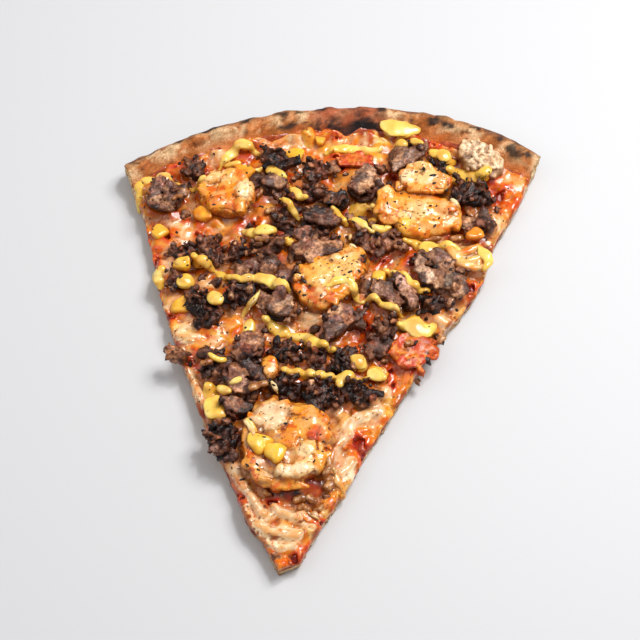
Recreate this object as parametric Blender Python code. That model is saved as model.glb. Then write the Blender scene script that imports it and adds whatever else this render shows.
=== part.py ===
"""A wide slice of surf and turf pizza: a thin crust with a raised rim, tomato sauce and melted
cheese, with prawns, pieces of beef, tomato and white curds lying on top.

The numbers below are millimetres, and to_metres() makes them metres as each mesh is built.
+Y runs from the tip to the rim, +Z is up, and the slice lies flat on its baked underside.
"""

import math
from collections import namedtuple

import bpy
import numpy as np
from mathutils import Vector
from mathutils.bvhtree import BVHTree

# The plan: the two cuts from tip to rim, and how far the rim's arc stands out from its chord.
LEFT_CUT = [(-1.5, -98.5), (-8.5, -88), (-14.5, -82), (-22, -68), (-33.5, -49), (-44, -28),
            (-52, -12), (-60, 6), (-65.5, 22), (-73, 43), (-80, 56), (-85.5, 67)]
RIGHT_CUT = [(5.5, -94.5), (11, -82), (19, -66), (26, -49), (34, -33), (41.5, -16), (47.5, -3),
             (57.5, 13), (65, 28), (69, 46), (77, 64), (86, 89.5)]
ARC_RISE = 26.5
ARC_FULLNESS = 2.3
ARC_LEAN = 0.1
SLICE_LENGTH = 197.0

# The crust: a thin base, and a rim whose two profiles are given against the distance in from
# the outer edge.
BASE_THICKNESS = 4.6
RIM_TOP = [(0, 5.2), (0.5, 7.4), (1.6, 9.8), (3.2, 11.6), (5.2, 12.6), (7.5, 12.5),
           (10, 10.9), (12.5, 8.4), (15, 6.2), (18, BASE_THICKNESS)]
RIM_CREST = 12.6
RIM_UNDER = [(0, 5.2), (0.5, 3.0), (1.6, 1.2), (3.2, 0.3), (5.2, 0.0)]

# The layers on the crust: how thick each is, and how far in from the outer edge it ends.
SAUCE_THICKNESS, SAUCE_INSET = 1.0, 12.0
CHEESE_THICKNESS, CHEESE_INSET = 2.2, 15.0
INSET_WAVER = 2.0
FEATHER = 0.45
GAP = 0.35

COLUMNS = 18
INNER_ROWS = 14
LAYER_ROWS = 16

# The pieces on top. Each has its middle, its length and width, its height, and the turn of its
# length from +X in degrees. Where two outlines meet, both are trimmed to the line between them.
Piece = namedtuple("Piece", "name x y length width height turn")
PRAWNS = [
    (-42, 56, 22, 20, 7.5, 70), (39, 71, 20, 14, 7.5, -15), (37, 54, 35, 22, 7, -5),
    (5, 20, 28, 18, 7.5, 38), (-4, -51, 34, 32, 8, 90), (-14, -20, 12, 7, 5, 100),
]
TOMATOES = [(39.5, -7, 19, 15, 3.5, -60), (9, 77, 16, 8, 4, 10)]
CURDS = [(61, 83, 22, 15, 5, -30)]
CHEESE_FOLDS = [(58, 36, 17, 11, 5, -10)]
BEEF_CRUMBLES = [
    (-56, 66, 12, 10, 5.5, 30), (-5, 71, 13, 11, 5.5, 20), (-7, 61, 13, 12, 5.5, 40),
    (-15, 54, 12, 9, 5, -40), (21, 41, 19, 12, 6, -15), (-16, 45, 13, 10, 5.5, 0),
    (-53, 27, 12, 11, 5.5, 0), (-44, 28, 12, 13, 6, 0), (-34, 28, 12, 10, 5, 10),
    (28, -3, 20, 12, 6, 75), (-23, -13, 14, 12, 6, 0), (3, -14, 13, 10, 6, 0),
    (-35, -22, 12, 16, 5.5, 0), (-50, -19.5, 13, 8, 5.5, -20), (-25, -39, 12, 9, 5, 0),
    (-55, 14, 12, 10, 6, -20),
]
BEEF_CHARS = [
    (3, 56, 12, 8, 6, -10), (-23, 74, 15, 12, 6.5, 0), (44.5, 79.5, 11, 8, 5, -45),
    (58, 66, 17, 13, 7.5, -15), (0, 47, 17, 10, 6, -5), (-43, 3, 20, 12, 6.5, -60),
    (-29, 11, 13, 12, 6, 0), (45, 14, 15, 10, 5, 10), (-9, -13, 12, 12, 6.5, -10),
    (13, -15, 11, 12, 6, 0), (-21, -20, 22, 6, 6, -36), (-6, -27, 13, 10, 6, 0),
    (7, -30, 15, 13, 6.5, -20), (20, -27, 14, 11, 6.5, 0), (-28, -52, 16, 13, 6.5, -60),
]
BEEF_SHAVINGS = [
    (-66, 51, 16, 14, 6, 20), (-23, 61.5, 13, 10, 5, -10), (14, 66, 17, 12, 6, 60),
    (30.5, 81, 17, 11, 6, 50), (61, 52, 18, 10, 5.5, 60), (-22, 34, 17, 12, 6, 10),
    (-3, 33, 24, 15, 6.5, 10), (-28, 23, 14, 13, 5.5, 0), (-15, 21, 13, 16, 6, 0),
    (-14, 6, 15, 13, 6.5, 0), (12, 0, 23, 12, 6, 55), (26, 16, 16, 12, 5.5, 0),
    (36, 16, 17, 10, 6, -65), (45, 33, 22, 9, 5.5, -15), (49, 24, 21, 15, 6.5, -20),
    (-25, -29, 19, 12, 6, -20),
]
# Pieces whose outline is no oval: its corners, going round anticlockwise.
OUTLINES = {
    "prawn_04": [(-10, 15), (-5.5, 7), (3, 5), (16.5, 16), (20.5, 30), (13, 35.5), (-8, 23.5)],
    "prawn_05": [(-20, -56), (-18, -64), (-10, -69), (0, -69), (8, -64), (11.5, -56),
                 (12.5, -45), (8, -37), (0, -33), (-10, -34), (-17, -41)],
    "beef_shaving_11": [(5, 3), (4.5, -5), (8, -10), (12, -3.5), (18.5, 2.5), (20.5, 9),
                        (13, 9), (8, 6.5)],
}
PIECE_KINDS = [
    ("prawn", PRAWNS, (0.84, 0.47, 0.17), 0.35),
    ("tomato", TOMATOES, (0.72, 0.14, 0.05), 0.3),
    ("white_curds", CURDS, (0.80, 0.62, 0.40), 0.5),
    ("cheese_fold", CHEESE_FOLDS, (0.86, 0.62, 0.24), 0.3),
    ("beef_crumble", BEEF_CRUMBLES, (0.16, 0.085, 0.055), 0.55),
    ("beef_char", BEEF_CHARS, (0.035, 0.026, 0.024), 0.5),
    ("beef_shaving", BEEF_SHAVINGS, (0.24, 0.145, 0.10), 0.55),
]

# A lump's rings from its middle underneath to its middle on top: share of the outline's radius,
# and share of the height.
LUMP_SIDES = 11
LUMP_RINGS = [(0.5, 0.0), (1.0, 0.0), (0.97, 0.42), (0.80, 0.80), (0.42, 0.98)]
LUMP_ROUGHNESS = 0.10
TRIM_STEPS = 40
CAST_HEIGHT = 60.0
PULL_IN = 1.0
SAMPLES = 6


def to_metres(points):
    return np.asarray(points, float) * 0.001


def material(name, colour, roughness):
    """A plain Principled material in the part's own colour."""
    made = bpy.data.materials.new(name)
    made.use_nodes = True
    shader = made.node_tree.nodes["Principled BSDF"]
    shader.inputs["Base Color"].default_value = (*colour, 1.0)
    shader.inputs["Roughness"].default_value = roughness
    shader.inputs["Metallic"].default_value = 0.0
    return made


def solid(name, points, faces, finish):
    """An object made of points in millimetres and faces, shaded smooth."""
    mesh = bpy.data.meshes.new(name)
    mesh.from_pydata(to_metres(points).tolist(), [], faces)
    mesh.validate()
    mesh.materials.append(finish)
    mesh.shade_smooth()
    made = bpy.data.objects.new(name, mesh)
    bpy.context.scene.collection.objects.link(made)
    return made


def smooth_line(points, steps=12):
    """A Catmull-Rom curve through the points, spaced evenly, as a function of 0 to 1."""
    knots = np.array([points[0], *points, points[-1]], float)
    along = []
    for a, b, c, d in zip(knots, knots[1:], knots[2:], knots[3:]):
        for t in np.arange(steps) / steps:
            along.append(0.5 * (2 * b + (c - a) * t + (2 * a - 5 * b + 4 * c - d) * t**2
                                + (3 * b - a - 3 * c + d) * t**3))
    along.append(knots[-1])
    along = np.array(along)
    walked = np.concatenate([[0], np.cumsum(np.linalg.norm(np.diff(along, axis=0), axis=1))])
    walked /= walked[-1]
    return lambda t: np.array([np.interp(t, walked, along[:, k]) for k in (0, 1)])


left_cut = smooth_line(LEFT_CUT)
right_cut = smooth_line(RIGHT_CUT)


def plan_point(u, inset):
    """The point of the plan u across, from the left cut to the right one, and inset mm in from
    the rim. The rows lie straight at the tip and bow out to the arc."""
    v = 1 - inset / SLICE_LENGTH
    left, right = left_cut(v), right_cut(v)
    chord = right_cut(1.0) - left_cut(1.0)
    out = np.array([-chord[1], chord[0]]) / np.linalg.norm(chord)
    side = 2 * u - 1
    bow = ARC_RISE * (1 - abs(side) ** ARC_FULLNESS) * (1 + ARC_LEAN * side) * v**1.5
    return left + (right - left) * u + out * bow


def swell(x, y, size, reach):
    """A gentle, uneven swell of the surface, up to about size, with waves about reach long."""
    k = 2 * math.pi / reach
    waves = math.sin(k * (x + 0.4 * y)) + math.sin(k * (0.9 * y - 0.3 * x) + 1.7)
    return size * 0.5 * (waves + 0.5 * math.sin(1.7 * k * (x - y) + 0.6))


def halves(a, b, c, d):
    """A four-sided face as two triangles."""
    return [(a, b, c), (a, c, d)]


def profile(points, inset):
    return float(np.interp(inset, *zip(*points)))


def crust_heights(u, inset):
    """(top, underside) of the crust. The rim swells and sinks along its length."""
    x, y = plan_point(u, inset)
    rim = profile(RIM_TOP, inset) - BASE_THICKNESS
    share = max(rim, 0) / (RIM_CREST - BASE_THICKNESS)
    top = BASE_THICKNESS + rim + swell(x, y, 1.1, 46) * share
    if inset >= RIM_TOP[-1][0]:
        top = BASE_THICKNESS + swell(x, y, 0.2, 60)
    under = profile(RIM_UNDER, inset)
    return (under, under) if inset == 0 else (top, under)


def crust():
    """Rows of points from the tip to the outer edge, on top and underneath, with the two cuts as
    walls between them. Top and underside meet in one row at the outer edge."""
    rim_rows = [inset for inset, _ in reversed(RIM_TOP)]
    inner = np.linspace(SLICE_LENGTH, rim_rows[0], INNER_ROWS)[:-1].tolist()
    insets = inner + rim_rows
    flat_rows = sum(inset >= RIM_UNDER[-1][0] for inset in insets)
    points, top, under = [], [], []
    for inset in insets:
        top.append([])
        under.append([])
        for u in np.linspace(0, 1, COLUMNS + 1):
            x, y = plan_point(u, inset)
            high, low = crust_heights(u, inset)
            top[-1].append(len(points))
            points.append((x, y, high))
            if inset > 0:
                under[-1].append(len(points))
                points.append((x, y, low))
            else:
                under[-1].append(top[-1][-1])
    faces = []
    for i in range(len(insets) - 1):
        for j in range(COLUMNS):
            faces += halves(top[i][j], top[i][j + 1], top[i + 1][j + 1], top[i + 1][j])
            if i + 1 >= flat_rows:
                faces += halves(under[i][j], under[i + 1][j], under[i + 1][j + 1],
                                under[i][j + 1])
        for j, turn in ((0, 1), (COLUMNS, -1)):
            wall = [under[i][j], top[i][j], top[i + 1][j], under[i + 1][j]]
            wall = [p for k, p in enumerate(wall) if p not in wall[:k]]
            faces.append(tuple(wall[::turn]))
    for j in range(COLUMNS):
        faces.append((under[0][j], under[0][j + 1], top[0][j + 1], top[0][j]))
    flat = under[:flat_rows]
    left_side = [row[0] for row in flat]
    right_side = [row[-1] for row in reversed(flat)]
    faces.append(tuple(left_side + flat[-1][1:-1] + right_side + flat[0][-2:0:-1]))
    return points, faces


def tree_of(points, faces):
    return BVHTree.FromPolygons([Vector(p) for p in points], faces)


def height_on(trees, x, y):
    """The highest point of the layers at x, y. Past the edge, it is the height of the nearest
    part of the slice on the way in."""
    pull = Vector((0, 20)) - Vector((x, y))
    pull.normalize()
    for step in range(40):
        at = Vector((x, y)) + pull * step * PULL_IN
        hits = [tree.ray_cast(Vector((*at, CAST_HEIGHT)), Vector((0, 0, -1)))[0]
                for tree in trees]
        found = [hit.z for hit in hits if hit]
        if found:
            return max(found)
    return BASE_THICKNESS


def clearance_missing(points, triangle, below):
    """How far a triangle has to rise to lie the gap above the layers below it everywhere."""
    corners = np.array([points[k] for k in triangle])
    missing = 0.0
    for i in range(SAMPLES + 1):
        for j in range(SAMPLES + 1 - i):
            x, y, z = np.array([i, j, SAMPLES - i - j]) / SAMPLES @ corners
            missing = max(missing, height_on(below, x, y) + GAP - z)
    return missing


def layer(below, inset, thickness, bumps):
    """A spread layer on the trees below, from the tip to about inset mm from the outer edge. It
    thins out towards the rim, and both cuts go straight through it."""
    rows = np.linspace(0, 1, LAYER_ROWS + 1)
    count = len(rows) * (COLUMNS + 1)
    under = np.arange(count).reshape(len(rows), COLUMNS + 1).tolist()
    top = (np.arange(count) + count).reshape(len(rows), COLUMNS + 1).tolist()
    low, thick = [], []
    for row in rows:
        for u in np.linspace(0, 1, COLUMNS + 1):
            end = inset + INSET_WAVER * math.sin(9 * u + inset) * math.sin(math.pi * u)
            x, y = plan_point(u, SLICE_LENGTH + (end - SLICE_LENGTH) * row)
            low.append([x, y, height_on(below, x, y) + GAP])
            thick.append(FEATHER if row == 1 else thickness + swell(x, y, *bumps))
    bottom = []
    faces = []
    last = len(rows) - 1
    for i in range(last):
        for j in range(COLUMNS):
            faces += halves(top[i][j], top[i][j + 1], top[i + 1][j + 1], top[i + 1][j])
            bottom += halves(under[i][j], under[i + 1][j], under[i + 1][j + 1], under[i][j + 1])
        faces += halves(under[i][0], top[i][0], top[i + 1][0], under[i + 1][0])
        faces += halves(under[i + 1][-1], top[i + 1][-1], top[i][-1], under[i][-1])
    for j in range(COLUMNS):
        faces += halves(under[0][j], under[0][j + 1], top[0][j + 1], top[0][j])
        faces += halves(under[last][j + 1], under[last][j], top[last][j], top[last][j + 1])
    lifts = np.zeros(count)
    for face in bottom:
        missing = clearance_missing(low, face, below)
        lifts[list(face)] = np.maximum(lifts[list(face)], missing)
    lower = [(x, y, z + lift) for (x, y, z), lift in zip(low, lifts)]
    upper = [(x, y, z + t) for (x, y, z), t in zip(lower, thick)]
    return lower + upper, faces + bottom


def reach(piece, angle):
    """The radius of a piece's outline in the direction of angle."""
    if piece.name in OUTLINES:
        return corner_reach(OUTLINES[piece.name], piece.x, piece.y, angle)
    turned = angle - math.radians(piece.turn)
    across = math.cos(turned) / (piece.length / 2), math.sin(turned) / (piece.width / 2)
    return 1 / math.hypot(*across)


def corner_reach(corners, x, y, angle):
    """How far the outline with these corners is from x, y in the direction of angle."""
    way = np.array([math.cos(angle), math.sin(angle)])
    middle = np.array([x, y])
    for start, end in zip(corners, corners[1:] + corners[:1]):
        run = np.subtract(end, start)
        away = np.subtract(start, middle)
        turn = way[0] * run[1] - way[1] * run[0]
        if turn > 0:
            along = (away[0] * run[1] - away[1] * run[0]) / turn
            share = (away[0] * way[1] - away[1] * way[0]) / turn
            if along > 0 and -1e-6 <= share <= 1 + 1e-6:
                return along
    raise ValueError("the middle lies outside the outline")


def nearness(piece, x, y):
    """How far out a point lies in a piece's outline: 0 in the middle, 1 on the outline."""
    angle = math.atan2(y - piece.y, x - piece.x)
    return math.hypot(x - piece.x, y - piece.y) / reach(piece, angle)


def trimmed(piece, others, angle, radius):
    """The radius cut back to where another piece's outline is nearer, less half of the gap."""
    for step in range(1, TRIM_STEPS + 1):
        far = radius * step / TRIM_STEPS
        x = piece.x + far * math.cos(angle)
        y = piece.y + far * math.sin(angle)
        mine = far / reach(piece, angle)
        if any(nearness(other, x, y) < mine for other in others):
            return max(far - radius / TRIM_STEPS - GAP, 0.2 * radius)
    return radius - GAP / 2


def lump(piece, others, layers, seed):
    """A low, uneven lump on the layers: its underside follows them, and its top is a dome."""
    random = np.random.default_rng(seed)
    angles = np.arange(LUMP_SIDES) * 2 * math.pi / LUMP_SIDES
    uneven = 1 + LUMP_ROUGHNESS * random.uniform(-1, 1, LUMP_SIDES)
    outline = [trimmed(piece, others, a, reach(piece, a) * e) for a, e in zip(angles, uneven)]
    points, rings = [], []
    for share, high in LUMP_RINGS:
        rings.append([])
        for angle, radius in zip(angles, outline):
            x = piece.x + share * radius * math.cos(angle)
            y = piece.y + share * radius * math.sin(angle)
            rise = high * piece.height * (1 + LUMP_ROUGHNESS * random.uniform(-1, 1) * (high > 0))
            rings[-1].append(len(points))
            points.append((x, y, height_on(layers, x, y) + GAP + rise))
    middle = height_on(layers, piece.x, piece.y) + GAP
    bottom, peak = len(points), len(points) + 1
    points += [(piece.x, piece.y, middle), (piece.x, piece.y, middle + piece.height)]
    under, over = [], []
    for k in range(LUMP_SIDES):
        after = (k + 1) % LUMP_SIDES
        under.append((bottom, rings[0][after], rings[0][k]))
        under += halves(rings[0][k], rings[0][after], rings[1][after], rings[1][k])
        over.append((peak, rings[-1][k], rings[-1][after]))
        for lower, upper in zip(rings[1:], rings[2:]):
            over += halves(lower[k], lower[after], upper[after], upper[k])
    lift = max(clearance_missing(points, face, layers) for face in under)
    return [(x, y, z + lift) for x, y, z in points], under + over




def stand_on_origin():
    """Moves everything together, so that the middle of its box is over the origin."""
    corners = [Vector(c) for o in bpy.context.scene.objects for c in o.bound_box]
    for axis in (0, 1):
        values = [corner[axis] for corner in corners]
        middle = (min(values) + max(values)) / 2
        for made in bpy.context.scene.objects:
            made.location[axis] -= middle


def main():
    for old in list(bpy.data.objects):
        bpy.data.objects.remove(old)

    base = crust()
    solid("crust", *base, material("baked_dough", (0.62, 0.36, 0.16), 0.7))
    base_tree = tree_of(*base)
    sauce = layer([base_tree], SAUCE_INSET, SAUCE_THICKNESS, (0.0, 50))
    solid("tomato_sauce", *sauce, material("tomato_sauce", (0.52, 0.07, 0.02), 0.3))
    sauce_tree = tree_of(*sauce)
    cheese = layer([base_tree, sauce_tree], CHEESE_INSET, CHEESE_THICKNESS, (0.6, 34))
    solid("melted_cheese", *cheese, material("melted_cheese", (0.86, 0.60, 0.30), 0.3))
    layers = [base_tree, sauce_tree, tree_of(*cheese)]

    pieces = []
    for kind, places, colour, roughness in PIECE_KINDS:
        finish = material(kind, colour, roughness)
        for number, place in enumerate(places, 1):
            pieces.append((Piece(f"{kind}_{number:02d}", *place), finish))
    for seed, (piece, finish) in enumerate(pieces):
        others = [other for other, _ in pieces if other is not piece
                  and math.hypot(other.x - piece.x, other.y - piece.y) < 40]
        solid(piece.name, *lump(piece, others, layers, seed), finish)
    stand_on_origin()


main()
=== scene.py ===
"""The looks of a surf and turf pizza slice: a charred thin crust, tomato sauce and melted cheese,
with prawns, fried beef, corn, tomato and curds, and a drizzle of yellow sauce.

Lengths are millimetres on the slice's own plan (+Y from tip to rim), until a mesh is written.
"""

import math

import bpy
import numpy as np
import openvdb
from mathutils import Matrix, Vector


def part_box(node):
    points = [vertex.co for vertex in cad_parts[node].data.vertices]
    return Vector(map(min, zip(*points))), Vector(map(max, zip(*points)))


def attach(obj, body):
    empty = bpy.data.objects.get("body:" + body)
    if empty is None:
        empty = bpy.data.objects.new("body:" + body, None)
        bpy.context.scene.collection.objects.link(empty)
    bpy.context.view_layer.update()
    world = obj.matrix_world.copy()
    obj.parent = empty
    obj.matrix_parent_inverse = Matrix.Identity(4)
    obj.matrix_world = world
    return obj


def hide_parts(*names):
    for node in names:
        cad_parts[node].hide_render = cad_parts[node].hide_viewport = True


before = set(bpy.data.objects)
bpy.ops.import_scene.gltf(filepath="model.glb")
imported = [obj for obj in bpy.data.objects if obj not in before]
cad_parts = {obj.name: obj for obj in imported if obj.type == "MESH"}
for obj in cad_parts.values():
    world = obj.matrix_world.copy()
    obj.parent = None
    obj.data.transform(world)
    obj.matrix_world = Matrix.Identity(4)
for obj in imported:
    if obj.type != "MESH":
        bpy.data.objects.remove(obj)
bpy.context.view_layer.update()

# How fine the grids are, in mm, that the shapes are worked out on.
LAYER_STEP = 0.5
PIECE_STEP = 0.4
CURD_STEP = 0.28

# The slice's plan and rim, as in the CAD part.
LEFT_CUT = [
    (-1.5, -98.5), (-8.5, -88), (-14.5, -82), (-22, -68), (-33.5, -49), (-44, -28), (-52, -12),
    (-60, 6), (-65.5, 22), (-73, 43), (-80, 56), (-85.5, 67),
]
RIGHT_CUT = [(5.5, -94.5), (11, -82), (19, -66), (26, -49), (34, -33), (41.5, -16), (47.5, -3),
             (57.5, 13), (65, 28), (69, 46), (77, 64), (86, 89.5)]
ARC_RISE, ARC_FULLNESS, ARC_LEAN = 26.5, 2.3, 0.1
BASE = 4.6
RIM_TOP = [(0, 5.2), (0.5, 7.4), (1.6, 9.8), (3.2, 11.6), (5.2, 12.6), (7.5, 12.5),
           (10, 10.9), (12.5, 8.4), (15, 6.2), (18, BASE)]
RIM_UNDER = [(0, 5.2), (0.5, 3.0), (1.6, 1.2), (3.2, 0.3), (5.2, 0.0)]

# The way from the plan to the CAD part's frame.
crust_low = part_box("crust")[0]
SHIFT = np.array([crust_low.x * 1000 - LEFT_CUT[-1][0], crust_low.y * 1000 - LEFT_CUT[0][1], 0.0])


def rgb(red, green, blue):
    """A colour as seen, 0 to 255, in the linear light that the shaders work in."""
    share = np.array([red, green, blue]) / 255
    return np.where(share <= 0.04045, share / 12.92, ((share + 0.055) / 1.055) ** 2.4)


PALE = rgb(254, 234, 202)
CREAM = rgb(246, 200, 122)
BUTTER = rgb(248, 200, 88)
YELLOW = rgb(244, 190, 56)
GOLD = rgb(242, 166, 54)
ORANGE = rgb(232, 134, 32)
DEEP_ORANGE = rgb(212, 96, 22)
RED = rgb(186, 44, 20)
DEEP_RED = rgb(110, 20, 10)
BROWN = rgb(120, 58, 24)
DARK_BROWN = rgb(66, 34, 22)
CHAR = rgb(21, 16, 16)

# ---------------------------------------------------------------- numbers into shapes

LATTICE = np.random.default_rng(11).random((64, 64, 64)) * 2 - 1


def noise(x, y, z, size, seed=0):
    """Smooth noise between -1 and 1, with lumps about size mm across."""
    cells, blends = [], []
    for value, drift in ((x, 17.3), (y, 5.9), (z, 29.1)):
        place = np.asarray(value, float) / size + drift * (seed + 1)
        cell = np.floor(place)
        rest = place - cell
        cells.append(cell.astype(int))
        blends.append(rest * rest * (3 - 2 * rest))
    total = 0.0
    for corner in range(8):
        weight, where = 1.0, []
        for axis in range(3):
            up = corner >> axis & 1
            weight = weight * (blends[axis] if up else 1 - blends[axis])
            where.append(cells[axis] + up & 63)
        total = total + weight * LATTICE[tuple(where)]
    return total


def rough(x, y, z, size, octaves, seed=0):
    """Noise with finer and finer noise on it."""
    parts = [noise(x, y, z, size / 2**k, seed + 5 * k) / 2**k for k in range(octaves)]
    return sum(parts)


def ramp(value, low, high):
    """0 at low, 1 at high, and a smooth turn between them."""
    share = np.clip((value - low) / (high - low), 0, 1)
    return share * share * (3 - 2 * share)


def mix(first, second, share):
    """The first colour turned into the second by a share of 0 to 1."""
    share = np.asarray(share)[..., None]
    return first * (1 - share) + second * share


def coats(colour, *layers):
    """The colour with other colours laid over it in turn, each with its share."""
    for tone, share in layers:
        colour = mix(colour, tone, share)
    return colour


def soft_min(a, b, reach):
    """The smaller of two distances, with a fillet about reach mm wide between the shapes."""
    share = np.clip(0.5 + 0.5 * (b - a) / reach, 0, 1)
    return b * (1 - share) + a * share - reach * share * (1 - share)


def soft_max(a, b, reach):
    """The larger of two distances, with a rounded edge where they meet."""
    return -soft_min(-a, -b, reach)


def smooth_line(points, spacing=None, count=None):
    """Evenly spaced points on a Catmull-Rom curve through the points, of any dimension."""
    knots = np.array([points[0], *points, points[-1]], float)
    along = []
    for a, b, c, d in zip(knots, knots[1:], knots[2:], knots[3:]):
        for t in np.arange(12) / 12:
            along.append(0.5 * (2 * b + (c - a) * t + (2 * a - 5 * b + 4 * c - d) * t**2
                                + (3 * b - a - 3 * c + d) * t**3))
    along = np.array(along + [knots[-1]])
    steps = np.linalg.norm(np.diff(along[:, :2], axis=0), axis=1)
    walked = np.concatenate([[0], np.cumsum(steps)])
    count = count or max(2, int(walked[-1] / spacing) + 1)
    at = np.linspace(0, walked[-1], count)
    return np.stack([np.interp(at, walked, along[:, k]) for k in range(along.shape[1])], 1)


def side_distance(line, x, y):
    """Signed distance to a line of points that runs on straight past both ends: more than 0 on
    its right."""
    line = np.concatenate([[line[0] * 61 - line[1] * 60], line, [line[-1] * 61 - line[-2] * 60]])
    best = np.full(np.broadcast(x, y).shape, 1e9)
    sign = np.ones_like(best)
    for a, b in zip(line, line[1:]):
        run = b - a
        px, py = x - a[0], y - a[1]
        t = np.clip((px * run[0] + py * run[1]) / (run @ run), 0, 1)
        away = np.hypot(px - t * run[0], py - t * run[1])
        nearer = away < best
        best = np.where(nearer, away, best)
        sign = np.where(nearer, np.where(run[1] * px - run[0] * py > 0, 1, -1), sign)
    return best * sign


def line_distance(points, x, y, spacing):
    """Distance to a smooth line through the points."""
    away = 99.0
    for px, py in smooth_line(points, spacing):
        away = np.minimum(away, np.hypot(x - px, y - py))
    return away


def polygon_distance(corners, x, y):
    """Signed distance to a closed outline, less than 0 inside."""
    best = np.full(np.broadcast(x, y).shape, 1e9)
    inside = np.zeros(best.shape, bool)
    for a, b in zip(corners, np.roll(corners, -1, axis=0)):
        run = b - a
        px, py = x - a[0], y - a[1]
        t = np.clip((px * run[0] + py * run[1]) / max(run @ run, 1e-9), 0, 1)
        best = np.minimum(best, np.hypot(px - t * run[0], py - t * run[1]))
        crosses = (a[1] > y) != (b[1] > y)
        slope = run[0] / (run[1] if run[1] else 1e-9)
        inside ^= crosses & (x < a[0] + (y - a[1]) * slope)
    return np.where(inside, -best, best)


def turned(x, y, degrees):
    """How far a place lies along a direction, and across it."""
    c, s = math.cos(math.radians(degrees)), math.sin(math.radians(degrees))
    return x * c + y * s, y * c - x * s


def ellipse(x, y, cx, cy, rx, ry, turn=0.0):
    """How far out a point lies in an ellipse: 0 in the middle, 1 on the outline."""
    along, across = turned(x - cx, y - cy, turn)
    return np.hypot(along / rx, across / ry)


def between(table, px, py):
    """The value at a place between the rows and columns of a table."""
    px = np.clip(px, 0, table.shape[0] - 1.001)
    py = np.clip(py, 0, table.shape[1] - 1.001)
    ix, iy = px.astype(int), py.astype(int)
    fx, fy = px - ix, py - iy
    return ((table[ix, iy] * (1 - fx) + table[ix + 1, iy] * fx) * (1 - fy)
            + (table[ix, iy + 1] * (1 - fx) + table[ix + 1, iy + 1] * fx) * fy)


# ---------------------------------------------------------------- meshes

PIECES = []


def surface(field, low, step, adaptivity=0.0):
    """The points and faces of the surface where a field of distances on a grid is 0."""
    grid = openvdb.FloatGrid()
    grid.background = 3.0
    grid.copyFromArray(np.ascontiguousarray(np.clip(field, -3, 3), dtype=np.float32))
    points, triangles, quads = grid.convertToPolygons(isovalue=0.0, adaptivity=adaptivity)
    return points * step + np.array(low), [triangles.astype(int), quads.astype(int)]


def face_mesh(name, points, faces):
    """A mesh of the points in mm, on the slice's plan, and arrays of faces with 3 or 4 corners."""
    mesh = bpy.data.meshes.new(name)
    faces = [f for f in faces if len(f)]
    corners = np.concatenate([f[:, ::-1].ravel() for f in faces])
    sizes = np.concatenate([np.full(len(f), f.shape[1]) for f in faces])
    mesh.vertices.add(len(points))
    mesh.vertices.foreach_set("co", ((points + SHIFT) * 0.001).astype(np.float32).ravel())
    mesh.loops.add(len(corners))
    mesh.loops.foreach_set("vertex_index", corners.astype(np.int32))
    mesh.polygons.add(len(sizes))
    starts = np.concatenate([[0], np.cumsum(sizes)[:-1]])
    mesh.polygons.foreach_set("loop_start", starts.astype(np.int32))
    mesh.update(calc_edges=True)
    mesh.shade_smooth()
    return mesh


def normals_of(mesh):
    """The directions the surface faces at the mesh's points."""
    found = np.zeros(len(mesh.vertices) * 3, np.float32)
    mesh.vertices.foreach_get("normal", found)
    return found.reshape(-1, 3)


def hollows(mesh, points, rounds):
    """How deep each point lies in a hollow of the surface, in mm. It is less than 0 on a bump."""
    ends = np.zeros(len(mesh.edges) * 2, np.int32)
    mesh.edges.foreach_get("vertices", ends)
    a, b = ends.reshape(-1, 2).T
    count = np.bincount(a, minlength=len(points)) + np.bincount(b, minlength=len(points))
    spread = points.copy()
    for _ in range(rounds):
        for axis in range(3):
            value = spread[:, axis]
            total = (np.bincount(a, value[b], len(points)) + np.bincount(b, value[a], len(points)))
            spread[:, axis] = (value + total) / (count + 1)
    return ((spread - points) * normals_of(mesh)).sum(1)


def surveyed(mesh, points, rounds, *noises):
    """The places of a mesh's points, how hollow it is there, and noises of a size, octaves and
    seed there."""
    x, y, z = points.T
    return (x, y, z, hollows(mesh, points, rounds), *(rough(x, y, z, *kind) for kind in noises))


def richer(colour, most):
    """The colours, stronger where they are dark and a little paler where they are light."""
    grey = colour @ np.array([0.3, 0.6, 0.1])
    share = 1 + most - (most + 0.05) * ramp(grey, 0.12, 0.6)
    return grey[:, None] + (colour - grey[:, None]) * share[:, None]


def finish_piece(mesh, colour, material, node, slot, wet=1.0):
    """Writes the colours onto the mesh and adds it to the slice. wet is how much it shines, and
    node the CAD part that it stands for, if any."""
    colour = richer(colour, 0.22 if material in (DOUGH, CHEESE, PRAWN) else 0.04)
    tint = mesh.color_attributes.new("tint", "FLOAT_COLOR", "POINT")
    rows = np.empty((len(mesh.vertices), 4), np.float32)
    rows[:, :3] = np.clip(colour, 0.004, 0.95)
    rows[:, 3] = np.clip(wet, 0, 1)
    tint.data.foreach_set("color", rows.ravel())
    PIECES.append((mesh, rows))
    mesh.materials.append(material)
    made = bpy.data.objects.new(mesh.name, mesh)
    bpy.context.scene.collection.objects.link(made)
    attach(made, "root")
    if node:
        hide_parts(node)


# ---------------------------------------------------------------- materials

def node_of(tree, kind, **settings):
    made = tree.nodes.new(kind)
    for key, value in settings.items():
        setattr(made, key, value)
    return made


def texture_noise(tree, scale, detail, distortion=0.0):
    """Fine noise in the slice's own space. scale is lumps per mm."""
    place = node_of(tree, "ShaderNodeTexCoord")
    made = node_of(tree, "ShaderNodeTexNoise")
    made.inputs["Scale"].default_value = scale * 1000
    made.inputs["Detail"].default_value = detail
    made.inputs["Roughness"].default_value = 0.6
    made.inputs["Distortion"].default_value = distortion
    tree.links.new(place.outputs["Object"], made.inputs["Vector"])
    return made.outputs["Fac"]


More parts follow.
